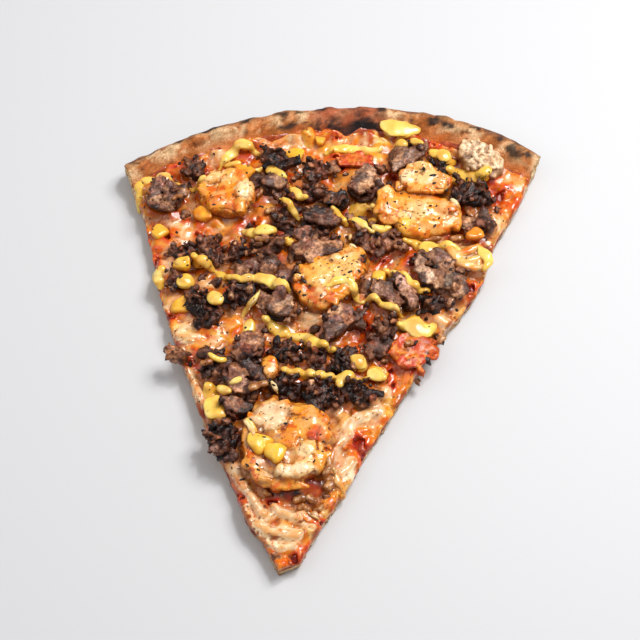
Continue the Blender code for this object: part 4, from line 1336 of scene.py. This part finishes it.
def make_cheese_fold():
    """The folded slice of yellow cheese: a wavy sheet with its edge turned over."""
    lump = BY_NAME["cheese_fold_01"]
    grid = lump_grid(lump, around=2.5)
    grid.add(slab(grid, lump, 440, 0.2, 0.45, 1.0))
    for points, width, lift in (([(50, 38.5), (54, 36.5), (58, 38), (62, 40.5)], 1.7, 3.2),
                                ([(51, 36), (56, 33.5), (61, 34.5), (65, 37)], 1.6, 2.8),
                                ([(53, 32.5), (59, 30.8), (65, 32)], 1.5, 2.4),
                                ([(63.5, 40), (66, 36), (65, 31)], 1.5, 2.8)):
        away = line_distance(points, grid.x, grid.y, 0.8)
        grid.add(np.sqrt(away**2 + ((grid.z - lump.floor - lift * 0.8) / 1.2) ** 2) - width, 1.1)
    grid.field -= 0.3 * grid.noise(3, 441) + 0.1 * grid.noise(1.4, 442)
    mesh, points = grid.mesh("cheese_fold_sheet")
    x, y, z, deep, n1, n2 = surveyed(mesh, points, 5, (4, 3, 443), (1.6, 2, 444))
    colour = coats(
        mix(rgb(246, 214, 140), rgb(240, 190, 96), ramp(n1, -0.3, 0.5)),
        # Orange in the hollows is painted shade.
        (ORANGE, ramp(deep, 0.02, 0.3) * 0.8),
        (DEEP_ORANGE, ramp(ellipse(x, y, 58, 38, 3, 1.8) + 0.3 * n2, 1.1, 0.6) * 0.7))
    lay(points, mesh, colour, CHEESE, lump.name, "cheese_fold")


make_cheese_fold()


def make_curds():
    """A low pat of fresh curds: short fat noodles pressed together."""
    lump = BY_NAME["white_curds_01"]
    rand = np.random.default_rng(41)
    grid = lump_grid(lump, step=CURD_STEP)
    grid.add(slab(grid, lump, 401, -0.2, 0.40, 1.8, 1.6))
    body = grid.field.copy()
    xs, ys, zs = (axis.ravel() for axis in (grid.x, grid.y, grid.z))
    for x, y in inside_spots(lump, rand, 1.95, -0.2):
        filled = body[np.searchsorted(xs, x) - 1, np.searchsorted(ys, y) - 1] < 0
        z = zs[filled.nonzero()[0].max()] if filled.any() else lump.floor
        half = rand.uniform(0.78, 1.0)
        place = (x, y, z + rand.uniform(0.1, 0.5))
        grid.blob(place, (half * rand.uniform(1.1, 1.9), half, half * 0.95),
                  rand.uniform(0, math.pi), rand.uniform(-0.3, 0.3), 0.05)
    mesh, points = grid.mesh("white_curds_nubs", 0.05)
    x, y, z = points.T
    deep = hollows(mesh, points, 4)
    tan = mix(rgb(250, 228, 192), rgb(242, 206, 160), ramp(rough(x, y, z, 4, 3, 403), -0.3, 0.5))
    # A painted highlight on the bumps, and painted shade, tan to brown, in the hollows.
    colour = coats(
        mix(tan, rgb(254, 240, 216), ramp(-deep, 0.03, 0.16) * 0.6),
        (rgb(214, 158, 104), ramp(deep, 0.01, 0.10) * 0.8),
        (rgb(160, 98, 56), ramp(deep, 0.10, 0.24) * 0.7))
    brown = ramp(ellipse(x, y, 55, 82, 4, 2.4, 10) + 0.3 * rough(x, y, z, 2, 2, 404), 1.1, 0.6)
    colour = mix(colour, rgb(110, 66, 40), brown * 0.6)
    lay(points, mesh, colour, CURDS, lump.name, "white_curds")


make_curds()


def make_tomatoes():
    for k, lump in enumerate(l for l in LUMPS if l.name.startswith("tomato_0")):
        seed = 420 + 9 * k
        grid = lump_grid(lump, around=3.0)
        grid.add(slab(grid, lump, seed, 1.2, 0.42, 3.4))
        creases(grid, 2.8, 0.34, 0.14, seed + 4)
        grid.field -= 0.34 * grid.noise(2.4, seed) + 0.16 * grid.noise(1.2, seed + 1)
        mesh, points = grid.mesh(lump.name + "_flesh")
        x, y, z, deep, n1, n2 = surveyed(mesh, points, 4, (4, 3, seed), (1.6, 2, seed + 2))
        colour = coats(
            mix(rgb(204, 70, 32), rgb(224, 116, 58), ramp(n1 + 0.5 * n2, -0.3, 0.5)),
            (rgb(238, 150, 48), ramp(n2 - n1, 0.1, 0.6) * 0.8),
            # Dark red in the hollows is painted shade.
            (rgb(168, 40, 18), ramp(deep + 0.3 * n2, 0.05, 0.45) * 0.85),
            (CHAR * 2, ramp(rough(x, y, z, 2.4, 2, seed + 3), 0.6, 0.8) * 0.8))
        lay(points, mesh, colour, TOMATO, lump.name, "tomato")


make_tomatoes()

# Corn kernels: middle, length, width, turn, and how orange each is.
KERNELS = [
    (-49.5, 46, 8, 7, 10, 0.8), (-35.5, 67, 7, 8, 80, 0.7), (-16, 79, 8, 7, 100, 0.1),
    (-66, 36, 7, 6, 60, 0.3), (-53, 3.5, 8, 6, 20, 0.3), (60, 45.5, 7, 5, 30, 0.9),
    (38, 4.5, 7, 5, 10, 0.1), (44, 3, 9, 6, -30, 0.2), (-14, -54, 9, 7, -30, 0.0),
    (-8, -57, 8, 7, -20, 0.0), (-54, 20, 7, 5, 10, 0.2), (-37, 80, 5, 4, 0, 0.3),
    (-6, 87, 4.5, 4, 90, 0.4), (27, -18, 8, 5, -30, 0.3), (24, 23.5, 6, 6, 0, 0.1),
]


def make_corn():
    rand = np.random.default_rng(51)
    for k, (cx, cy, length, width, turn, orange) in enumerate(KERNELS):
        ground = read_one(smear(TOP, 2), cx, cy)
        grid = box_grid(cx, cy, length, ground - 2.5, ground + 5)
        along, across = turned(grid.x - cx, grid.y - cy, turn)
        taper = 1 + 0.32 * along / (length / 2)
        up = grid.z - ground - 0.6 - rand.uniform(-0.25, 0.25) * along
        block = [np.abs(v / r) ** 3.6
                 for v, r in ((along, length / 2), (across / taper, width / 2), (up, 2.2))]
        grid.add((sum(block) ** (1 / 3.6) - 1) * 2.2 + 0.40 * grid.noise(3.2, 520 + k))
        c, s = math.cos(math.radians(turn)), math.sin(math.radians(turn))
        dx, dy = grid.x - cx - c * length * 0.18, grid.y - cy - s * length * 0.18
        dent = np.sqrt(dx ** 2 + dy ** 2 + (grid.z - ground - 5.4) ** 2)
        grid.field = soft_max(grid.field, 2.9 - dent, 0.6) - 0.25 * grid.noise(2.2, 500 + k)
        mesh, points = grid.mesh(f"corn_kernel_{k:02d}")
        x, y, z = points.T
        n1 = rough(x, y, z, 3, 2, 510 + k)
        colour = coats(
            mix(rgb(252, 190, 18), rgb(252, 214, 70), ramp(n1, -0.3, 0.5)),
            (rgb(238, 140, 24), np.clip(orange + 0.5 * n1, 0, 1)),
            # Towards the bottom the kernel turns orange and then brown: painted shade where it
            # sinks into what lies under it.
            (rgb(222, 128, 20), ramp(z - ground, 2.2, 0.6) * 0.8),
            (rgb(150, 70, 20), ramp(z - ground, 0.9, -0.6) * 0.7))
        lay(points, mesh, colour, CORN, None, "melted_cheese")


make_corn()

# ---------------------------------------------------------------- small bits

# Small bits of beef: middle and size.
SMALL_BITS = [
    (-68, 44, 4), (-57.5, 46, 6), (-72.5, 40.5, 4), (-57.5, 60, 3.5), (-14, 66.5, 5),
    (-3.5, 58.5, 5), (20, 73.5, 7), (15, 50.5, 6), (10, 51, 5), (66, 50, 5), (-35, 31.5, 4),
    (-26.5, 42, 5), (-30, 43, 4), (-31.5, 36.5, 4), (5, 38, 4), (-46, 17, 4), (-40, 15.5, 6),
    (-36, 14, 4), (-44, 8, 4), (-26, 11, 5), (-32, 7, 4), (1, -1.5, 6), (-18, -4, 4.5), (5, 1, 4),
    (8, 5, 4), (18, -16.5, 5), (31, 6, 4), (29, -12, 4), (49.5, 1, 5), (-55, -24, 4),
    (-8, -26.5, 5), (12.5, -69.5, 3.5), (46, -12, 4), (43, -18, 4), (-3, -94.5, 4), (29, 44, 5),
    (33, 38, 5), (-9, 76, 4), (24, 70, 5), (52, 72, 4), (-61, 52, 4), (36, 24, 5), (29, 20, 5),
    (-12, -30, 5), (14, -31, 5), (26, -30, 4), (-30, -38, 4), (-20, 46, 5), (-7, 50, 4),
    (44, 12, 4), (54, 20, 5), (56, 28, 5), (-52, 31, 4), (-41, 34, 4), (-59, 29, 3.5), (-1, 38, 4),
    (-62, 68, 3.5), (55, 61, 4), (63, 61, 4), (22, 38, 4), (-27, -47, 4), (-33, -17, 4),
    (-46, -16, 4), (-38, 5, 4), (-10, 0, 3.5), (-24, -19, 4), (36, 84, 4),
]
# How many more crumbs lie round the beef.
CRUMBS = 210


def bit_places(rand):
    """The larger bits, and many crumbs that fell off the beef around it."""
    places = list(SMALL_BITS)
    beef = [lump for lump in LUMPS if lump.name.startswith("beef")]
    while len(places) < len(SMALL_BITS) + CRUMBS:
        lump = beef[rand.integers(len(beef))]
        turn = rand.uniform(0, 2 * math.pi)
        half = (lump.high[:2] - lump.low[:2]) / 2 * rand.uniform(0.7, 1.75)
        x, y = lump.middle + half * (math.cos(turn), math.sin(turn))
        if (read_one(near_other, x, y) < 0.3 or read_one(CUT, x, y) < 0.2
                or read_one(INSET, x, y) < 12):
            continue
        places.append((x, y, rand.uniform(1.6, 3.8)))
    return places


def make_bits():
    """Crumbs of beef, all in one mesh, each of one to three torn flakes."""
    rand = np.random.default_rng(71)
    ground_of = smear(TOP, 1)
    palette = CRUMBLE_TONES + CHAR_TONES[:2] + SHAVING_TONES[:4]
    shells, parts = [], []
    for k, (cx, cy, size) in enumerate(bit_places(rand)):
        ground = float(read_one(ground_of, cx, cy))
        if ground < 5:
            continue
        reach = size * 0.75 + 0.6
        grid = box_grid(cx, cy, reach, ground - reach, ground + reach)
        for _ in range(3 if size > 3 else 1):
            x, y = (cx, cy) + rand.uniform(-0.16, 0.16, 2) * size
            half = size * rand.uniform(0.28, 0.42)
            length = half * rand.uniform(1, 1.4)
            corners = ragged(rand, x, y, length, half, rand.uniform(0, math.pi), 6)
            z = ground + rand.uniform(0.0, 0.14) * size
            piece = flake(grid, corners, z, half * rand.uniform(0.35, 0.6), 700 + k,
                          rand.uniform(-0.8, 0.8, 2), 0.2, 0.3)
            grid.add(piece, 0.12)
        grid.field -= 0.12 * grid.noise(1.3, 700 + k)
        points, faces = grid.shell(0.3)
        if not len(points):
            continue
        tone = palette[rand.integers(len(palette))] * rand.uniform(0.8, 1.2)
        if cy < -55:
            tone = tone * 0.3 + rgb(196, 150, 112) * 0.7
        parts.append(((cx, cy, ground), tone, rand.uniform(0, 180)))
        shells.append((points, faces))
    mesh, points = joined("beef_bits", shells)
    colour, wet = meat_colour(mesh, points, parts, 0.3, 710)
    lay(points, mesh, colour, BEEF, None, "beef_crumble", wet)


make_bits()


# Soft pieces of fried onion: middle, length, width and turn.
ONIONS = [
    (3, -71.5, 5, 3, 20), (7.5, -71.2, 4.4, 3.2, -30), (5, -75, 4.6, 3, 0),
    (10.5, -74, 4.6, 3.2, 40), (9, -77.4, 4, 2.4, -10), (12.3, -59.5, 7.4, 2.3, 85),
    (13.2, -65.5, 4.4, 3.4, 60), (-9, -71, 3.6, 2.4, -30), (-17, -31.5, 7, 2.8, 25),
    (57.5, 58.5, 8, 2.2, -62), (-22.5, 50, 4.4, 2.6, 20), (53.5, 45.5, 6, 3, 10),
    (-27.5, 58.5, 5.6, 2.2, 80), (-38, -22.5, 4.6, 2.4, 20), (43.5, 42.8, 6.4, 2.6, 10),
    (-24.5, 34, 4.4, 2.4, 0), (-30, -44, 4.4, 2.6, -40), (38, -6, 3.6, 2.6, 20),
    (50, -1.5, 4, 2.6, 50), (-60, 49, 4.4, 2.4, 30),
]


def make_onions():
    """Soft brown strips of onion, each of a few run-together lobes, all in one mesh."""
    rand = np.random.default_rng(61)
    ground_of = smear(TOP, 1)
    shells = []
    for k, (cx, cy, length, width, turn) in enumerate(ONIONS):
        ground = float(read_one(ground_of, cx, cy))
        reach = length * 0.6 + 1.0
        grid = box_grid(cx, cy, reach, ground - 2.5, ground + 3.5)
        spin = math.radians(turn)
        along, bend = np.array([math.cos(spin), math.sin(spin)]), rand.uniform(-0.9, 0.9)
        for t in (-0.36, -0.12, 0.12, 0.36):
            place = np.array([cx, cy]) + along * t * length
            place = place + np.array([-along[1], along[0]]) * bend * (8 * t * t - 0.5)
            half = width * rand.uniform(0.38, 0.56)
            level = ground + rand.uniform(0.3, 0.8)
            radii = (length * 0.22, half, 0.55 * half + 0.35)
            grid.blob((*place, level), radii, spin + bend * t)
        grid.field -= 0.32 * grid.noise(2.0, 650 + k) + 0.12 * grid.noise(1.1, 670 + k)
        shells.append(grid.shell(0.1))
    mesh, points = joined("onion_strips", shells)
    x, y, z, deep, n1, n2 = surveyed(mesh, points, 4, (3.4, 3, 660), (1.5, 2, 661))
    colour = coats(
        mix(rgb(206, 164, 120), rgb(168, 118, 76), ramp(n1, -0.3, 0.4)),
        # A painted highlight on the bumps and painted shade in the hollows.
        (rgb(238, 212, 176), ramp(-deep - 0.1 * n2, 0.02, 0.16) * 0.6),
        (rgb(120, 66, 32), ramp(deep + 0.1 * n2, 0.02, 0.2) * 0.8))
    lay(points, mesh, colour, PRAWN, None, "melted_cheese")


make_onions()

# ---------------------------------------------------------------- the yellow sauce

# Strokes of the drizzle: points along each, and its half width.
STROKES = [
    ([(-78, 55), (-76, 60), (-70, 59.5), (-61, 57.5)], 2.2),
    ([(-76, 58), (-76.5, 52), (-76, 47)], 1.5),
    ([(-46, 69), (-44.5, 73), (-42, 76), (-38, 80), (-31, 78)], 1.9),
    ([(-46, 71), (-42, 71.5), (-38, 72)], 1.3),
    ([(-3, 81.5), (3, 84), (9, 84.5), (14, 84), (19, 85.5)], 2.1), ([(25, 85), (29, 85.5)], 1.7),
    ([(-30, 69), (-26, 70), (-21, 66.5), (-17, 64.5)], 1.7),
    ([(-16.5, 63), (-12, 57.5), (-8.5, 56)], 1.4), ([(-19, 55), (-13, 50), (-9, 46)], 1.3),
    ([(-4.5, 52.3), (-2.5, 52.5)], 1.8), ([(3, 52), (6, 49.5), (9, 46.5)], 1.5),
    ([(10, 49), (15, 46), (20, 43)], 1.5), ([(20, 45.5), (23.5, 45), (26.5, 45.5)], 1.5),
    ([(11, 55), (15, 55.5)], 2.6), ([(18, 56), (19.5, 55)], 1.4), ([(18, 50.5), (20, 50)], 1.4),
    ([(39, 84.5), (43, 83), (47, 81.5), (50, 82.5)], 2.5),
    ([(48, 77), (53, 76), (58, 75), (63, 75.5)], 3.4),
    ([(33, 41), (38, 41), (42, 38), (46, 39), (51, 40), (54, 38)], 1.9),
    ([(-32, 40.5), (-26, 38.5), (-20, 40)], 2.1), ([(-14, 35.5), (-12, 35)], 1.4),
    ([(-50, 24), (-45.5, 22), (-41.5, 20.5)], 1.9), ([(-56, 20), (-53, 20.5)], 2.0),
    ([(-62, 19), (-63, 15), (-61, 11)], 2.0), ([(-65.5, 18), (-63, 17)], 1.4),
    ([(-52.5, 13), (-50.5, 13)], 2.7), ([(-40.5, 6), (-38, 5), (-36, 4)], 1.7),
    ([(-40, 20), (-36, 17.5), (-31, 16)], 1.6),
    ([(-30, 15), (-25, 17), (-20, 16.5), (-15, 14.5), (-10, 12)], 1.8),
    ([(4.5, 14), (7, 16.5), (10, 18), (14, 17), (16.5, 12)], 1.5),
    ([(25, 27.5), (27.5, 26), (30, 24)], 1.4),
    ([(30, 25), (34, 24), (37, 20), (41, 19), (44, 19.5)], 1.2),
    ([(18, 11.5), (22, 13), (27, 10), (31, 9), (35.5, 7)], 1.2),
    ([(-24.5, 0), (-24.5, -3), (-25, -6)], 2.4), ([(-28, 2), (-24, 7), (-20, 12)], 1.0),
    ([(-19, 0), (-16, -1), (-14, -4)], 1.7), ([(-13, -3), (-10, -3.5)], 2.2),
    ([(-9, -5), (-3, -5), (1, -8), (6, -10.5), (9, -11)], 2.0),
    ([(17, -14), (21, -16.5), (25, -19), (30, -20.5)], 2.6),
    ([(33.5, 3), (38, 2.5), (43, 1), (47, 3.5)], 2.9),
    ([(-9, -21), (-3, -21), (3, -21.5), (10, -22.5), (17, -21.5), (24, -21.5)], 1.8),
    ([(12, -23), (13, -26)], 1.5), ([(-37, -19), (-34, -20.5), (-31, -20)], 0.9),
    ([(-36, -30), (-34.5, -34), (-33, -38), (-30.5, -42.5)], 3.7), ([(-32, -31), (-28, -33)], 1.8),
    ([(-21, -43), (-17, -47), (-14.5, -51)], 1.0), ([(20, 97), (26, 97), (33, 96)], 4.2),
    ([(21, 94.5), (32, 94)], 3.2), ([(-56, 57), (-50, 60)], 1.1),
    ([(62, 40), (66, 35), (65, 30)], 1.6), ([(-24, -28), (-28, -30)], 0.9),
    ([(31, 88), (36, 86)], 1.2),
]


def tubes(name, strokes, tall, colours, material, fillet, seed):
    """Soft lines that lie over what is under them. Each stroke has its points and half width."""
    step = PIECE_STEP
    low = np.array([XS[0], YS[0], 3.0])
    shape = [int((XS[-1] - XS[0]) / step), int((YS[-1] - YS[0]) / step), int(20 / step)]
    field = np.full(shape, 3.0, np.float32)
    axes = [low[k] + np.arange(shape[k]) * step for k in range(3)]
    ground, peak = smear(np.maximum(TOP, 4.5), 3), smear(TOP, 1)
    for k, (points, width) in enumerate(strokes):
        line = smooth_line(points, spacing=0.5)
        x, y = line.T
        swing = noise(x, y, 0, 3.2, seed)
        beads = 1 + 0.40 * noise(x, y, 0, 4.6, seed + 1) + 0.10 * noise(x, y, 0, 2.2, seed + 2)
        ends = np.abs(np.linspace(-1, 1, len(line)))
        whole = ramp(noise(x, y, 0, 5.5, seed + 5), -0.62, -0.36)
        radius = width * beads * (1.08 - 0.60 * ramp(ends, 0.35, 1.0)) * whole
        x = x + 0.6 * swing
        y = y + 0.5 * noise(x, y, 0, 2.8, seed + 3)
        z = 0.3 * read(ground, x, y) + 0.7 * read(peak, x, y) - 0.15
        for px, py, pz, r in zip(x, y, z, radius):
            if r < 0.3:
                continue
            reach = r + 1.6
            box = []
            for axis, place in zip(axes, (px, py, pz)):
                i0, i1 = np.searchsorted(axis, [place - reach, place + reach])
                box.append(slice(i0, i1))
            ax, ay, az = (axes[k][box[k]] for k in range(3))
            flat = min(0.8, tall / r)
            away = np.sqrt((ax[:, None, None] - px) ** 2 + (ay[None, :, None] - py) ** 2
                           + ((az[None, None, :] - pz) / flat) ** 2)
            part = field[tuple(box)]
            shell = ((away - r) * (flat * 0.5 + 0.5)).astype(np.float32)
            field[tuple(box)] = soft_min(part, shell, fillet)
    close = np.abs(field) < 1.4
    place = [low[k] + index * step for k, index in enumerate(np.nonzero(close))]
    field[close] -= 0.40 * noise(*place, 3.4, seed + 6) + 0.08 * noise(*place, 1.2, seed + 7)
    points, faces = surface(field, low, step, 0.12)
    mesh = face_mesh(name, points, faces)
    lay(points, mesh, colours(mesh, points), material, None, "melted_cheese")


def drizzle_colour(mesh, points):
    x, y, z, deep, n1, n2 = surveyed(mesh, points, 4, (5, 2, 620), (2, 2, 621))
    colour = coats(
        mix(rgb(252, 216, 100), rgb(246, 201, 74), ramp(n1, -0.2, 0.5)),
        (rgb(252, 228, 146), ramp(-n1 + 0.4 * n2, 0.2, 0.7) * 0.5),
        # Darker orange in the hollows is painted shade.
        (rgb(222, 144, 36), ramp(deep, 0.04, 0.35) * 0.6))
    low = ramp(z - read(TOP, x, y), 0.5, -0.8)
    colour = mix(colour, rgb(232, 178, 60), low * 0.5)
    return mix(colour, CHAR * 2, ramp(rough(x, y, z, 1.2, 1, 630), 0.82, 0.9) * 0.8)


tubes("yellow_drizzle", [(points, 1.06 * width) for points, width in STROKES], 1.0, drizzle_colour,
      DRIZZLE, 0.6, 600)

# Thin strands of cheese: points along each, and its half width.
STRANDS = [
    ([(-22, 8), (-24.5, 4), (-26, 1)], 0.45), ([(11.5, 33), (11.5, 38), (10.5, 43)], 0.9),
    ([(11, 36), (13, 34), (15, 32.5)], 0.45), ([(-29, -29), (-27, -31)], 0.4),
    ([(-12, -28), (-9, -32)], 0.6), ([(0, 67), (2, 66), (3, 64)], 0.45),
    ([(-20.5, -44), (-18, -48), (-16, -52)], 1.2), ([(9, -87.5), (11.5, -88), (13.3, -89.3)], 0.75),
    ([(27, -14), (30, -17), (30, -20.5)], 0.4), ([(5, -76), (9, -78), (12, -80)], 0.4),
    ([(-36, 45), (-33, 46), (-30, 44)], 0.4), ([(14, -60), (17, -64), (19, -70)], 0.9),
    ([(50, 62), (52, 58), (55, 56)], 0.8), ([(-48, 71), (-49, 68)], 0.7),
]


def strand_colour(mesh, points):
    """Pale strands that turn golden in places."""
    x, y, z = points.T
    return mix(rgb(250, 226, 176), rgb(238, 160, 60), ramp(noise(x, y, 0, 9, 641), -0.2, 0.4))


tubes("cheese_strands", STRANDS, 1.5, strand_colour, CHEESE, 0.3, 640)


# How many grains there are in all, with the flecks below.
GRAINS = 380
# Charred flecks that stand out on the prawns: middle, half length and turn.
FLECKS = [
    (-46.5, 51.5, 0.5, 0), (-42.5, 50.5, 0.5, 0), (-37.7, 53, 0.5, 0), (-40, 48.4, 0.4, 0),
    (-44.5, 47.4, 1.1, 0), (-48.7, 56.2, 0.6, 0), (25.2, 53.7, 0.6, 60), (27.3, 56.9, 0.9, 10),
    (37, 52.4, 0.5, 0), (39.4, 52.7, 0.6, 0), (41, 54.2, 0.5, 0), (41.8, 56.4, 0.8, 30),
    (44.2, 56.6, 0.8, 70), (45.7, 51.3, 0.8, 60), (43.5, 49.6, 0.6, 0), (44.2, 47.2, 1.1, 60),
    (38.2, 45.5, 0.6, 50), (31.6, 46.1, 0.7, 0), (32.6, 44.8, 0.8, -50), (40.7, 43.6, 0.5, 60),
    (41.7, 70.3, 1.8, 15), (35, 71.5, 1.0, 0), (48, 65, 1.3, 60), (29.7, 61.6, 0.7, 0),
    (33, 60.2, 0.6, -40), (3.5, 24.5, 0.6, 0), (1, 23, 0.6, 0), (4.5, 22.5, 0.6, 0),
    (5, 26, 0.8, -30), (9.2, 27.6, 0.9, 60), (8, 23.5, 0.8, 10), (9.5, 22, 0.6, 0),
    (10.5, 20, 0.8, 60), (12.6, 21.6, 1.2, 35), (13, 25, 0.7, 30), (15, 26, 0.8, -20),
    (16, 22.5, 1.3, -40), (12, 18.5, 0.5, 0), (3, 17.5, 0.6, 0), (-7, 18.8, 0.9, -10),
    (-4.9, 15.9, 1.8, -45), (-5.6, 17, 1.2, -60), (-6, 11, 1.0, 60), (-4, 10, 1.0, 0),
    (2.5, 10, 0.8, 60), (4.5, 8, 0.6, 0), (-5, -45.2, 1.1, 0), (2.8, -43, 0.6, 0),
    (8.4, -48.5, 0.7, 30), (9.7, -50.8, 0.7, 0), (9.8, -54.8, 0.6, 0), (7.2, -59, 0.8, 60),
    (-17, -63, 1.0, -40), (-13.5, -62.2, 1.0, -40), (-15, -60, 0.6, 0), (-12.8, -64.4, 0.9, -30),
    (-18.7, -66.6, 1.4, 20), (-12.2, -52, 0.9, 0), (-18, -45, 0.8, -30), (17.2, 29.5, 1.0, 60),
    (17.8, 27, 1.2, 50), (-9.5, -76, 1.4, 60), (40.5, -5, 1.6, 60),
]


def make_specks():
    """Cracked pepper and charred crumbs, as small jagged grains over the top."""
    rand = np.random.default_rng(81)
    golden = (1 + math.sqrt(5)) / 2
    corners = np.array([(-1, golden, 0), (1, golden, 0), (-1, -golden, 0), (1, -golden, 0),
                        (0, -1, golden), (0, 1, golden), (0, -1, -golden), (0, 1, -golden),
                        (golden, 0, -1), (golden, 0, 1), (-golden, 0, -1), (-golden, 0, 1)]) / 1.9
    sides = np.array([(0, 11, 5), (0, 5, 1), (0, 1, 7), (0, 7, 10), (0, 10, 11), (1, 5, 9),
                      (5, 11, 4), (11, 10, 2), (10, 7, 6), (7, 1, 8), (3, 9, 4), (3, 4, 2),
                      (3, 2, 6), (3, 6, 8), (3, 8, 9), (4, 9, 5), (2, 4, 11), (6, 2, 10),
                      (8, 6, 7), (9, 8, 1)])[:, ::-1]
    places = [(x, y, (half, half * 0.45, 0.35), math.radians(turn)) for x, y, half, turn in FLECKS]
    while len(places) < GRAINS:
        x, y = rand.uniform(-86, 86), rand.uniform(-99, 92)
        inside = min(read_one(CUT, x, y), read_one(INSET, x, y) - 12)
        if inside < 0.6 or read_one(near_beef, x, y) > 9:
            continue
        size = rand.uniform(0.2, 0.45) if rand.random() < 0.85 else rand.uniform(0.5, 0.9)
        places.append((x, y, rand.uniform(0.5, 1.5, 3) * size, rand.uniform(0, math.pi)))
    points, faces, colours = [], [], []
    for x, y, stretch, turn in places:
        grain = corners * stretch + rand.uniform(-0.2, 0.2, corners.shape) * min(stretch)
        c, s = math.cos(turn), math.sin(turn)
        grain[:, :2] = grain[:, :2] @ np.array([[c, s], [-s, c]])
        ground = read_one(TOP, x, y)
        faces.append(sides + 12 * len(points))
        points.append(grain + (x, y, ground - 0.3 * stretch[2]))
        tone = CHAR if rand.random() < 0.75 else BROWN * 0.6
        colours.append(np.repeat([tone * rand.uniform(0.6, 1.5)], 12, axis=0))
    mesh = face_mesh("pepper_grains", np.concatenate(points), [np.concatenate(faces)])
    finish_piece(mesh, np.concatenate(colours), PEPPER, None, "beef_char")


make_specks()


def paint_gap_shade():
    """Painted shade, tinted brown, low between the toppings: darkens what lies beside something
    taller.
    """
    top = smear(TOP, 1)
    for mesh, rows in PIECES[1:]:
        place = np.zeros(len(mesh.vertices) * 3, np.float32)
        mesh.vertices.foreach_get("co", place)
        x, y, z = (place.reshape(-1, 3) * 1000 - SHIFT).T
        gap_shade = 0.0
        for turn in np.arange(8) * math.pi / 4:
            rise = 0.0
            for away in (1.1, 2.2, 4.4):
                side = read(top, x + math.cos(turn) * away, y + math.sin(turn) * away)
                rise = np.maximum(rise, (side - z) / away)
            gap_shade = gap_shade + rise / np.sqrt(1 + rise**2) / 8
        gap_shade = ramp(gap_shade, 0.21, 0.68) * ramp(read(CUT, x, y), 0.2, 1.2)
        dark, most = (0.34, 0.19, 0.12), 0.88
        if mesh.name.endswith("layer"):
            dark, most = (0.60, 0.28, 0.10), 0.75
        elif mesh.name.startswith(("yellow", "corn", "cheese_s", "onion")):
            dark = (0.80, 0.60, 0.32)
        elif mesh.name == "beef_bits":
            most = 0.6
        rows[:, :3] = mix(rows[:, :3], rows[:, :3] * np.array(dark), gap_shade * most)
        mesh.color_attributes["tint"].data.foreach_set("color", rows.ravel())


paint_gap_shade()

# ---------------------------------------------------------------- camera, light, floor


def make_floor():
    """A plain pale table under the slice."""
    mesh = bpy.data.meshes.new("floor")
    mesh.from_pydata([(-3, -3, 0), (3, -3, 0), (3, 3, 0), (-3, 3, 0)], [], [(0, 1, 2, 3)])
    paint = bpy.data.materials.new("floor")
    paint.use_nodes = True
    shader = paint.node_tree.nodes["Principled BSDF"]
    shader.inputs["Base Color"].default_value = (0.63, 0.63, 0.64, 1)
    shader.inputs["Roughness"].default_value = 0.6
    mesh.materials.append(paint)
    floor = bpy.data.objects.new("floor", mesh)
    bpy.context.scene.collection.objects.link(floor)


# The round lamps, all turned to the middle of the slice: place, size and power.
LAMPS = {
    "key": ((0.36, 0.30, 0.76), 0.46, 6.4),
    "spark": ((0.24, 0.34, 0.80), 0.07, 1.4),
    "fill": ((-0.55, -0.10, 0.6), 0.6, 1.0),
    "top": ((0.0, 0.1, 1.0), 0.9, 1.3),
}


def make_lights():
    for name, (place, size, power) in LAMPS.items():
        aim = Vector((0, 0, 0)) - Vector(place)
        lamp = bpy.data.lights.new(name, "AREA")
        lamp.shape = "DISK"
        lamp.size = size
        lamp.energy = power
        made = bpy.data.objects.new(name, lamp)
        made.location = place
        made.rotation_euler = aim.to_track_quat("-Z", "Y").to_euler()
        bpy.context.scene.collection.objects.link(made)


def make_world():
    """Soft white light from all around."""
    world = bpy.data.worlds.new("studio")
    world.use_nodes = True
    background = world.node_tree.nodes["Background"]
    background.inputs["Color"].default_value = (1, 1, 1, 1)
    background.inputs["Strength"].default_value = 0.33
    bpy.context.scene.world = world
    bpy.context.scene.view_settings.view_transform = "Standard"


def make_view():
    """The camera of the photograph: 62 degrees up and 6 degrees round from the tip."""
    up, around, distance = math.radians(62), math.radians(6), 0.572
    target = Vector((2.3 + SHIFT[0], 7.4 + SHIFT[1], 0)) * 0.001
    back = Vector((math.sin(around) * math.cos(up), -math.cos(around) * math.cos(up),
                   math.sin(up)))
    camera = bpy.data.cameras.new("camera")
    camera.sensor_fit = "HORIZONTAL"
    camera.angle = math.radians(25)
    camera.clip_start = 0.01
    made = bpy.data.objects.new("camera", camera)
    made.location = target + back * distance
    made.rotation_euler = back.to_track_quat("Z", "Y").to_euler()
    bpy.context.scene.collection.objects.link(made)
    bpy.context.scene.camera = made


make_floor()
make_lights()
make_view()
make_world()
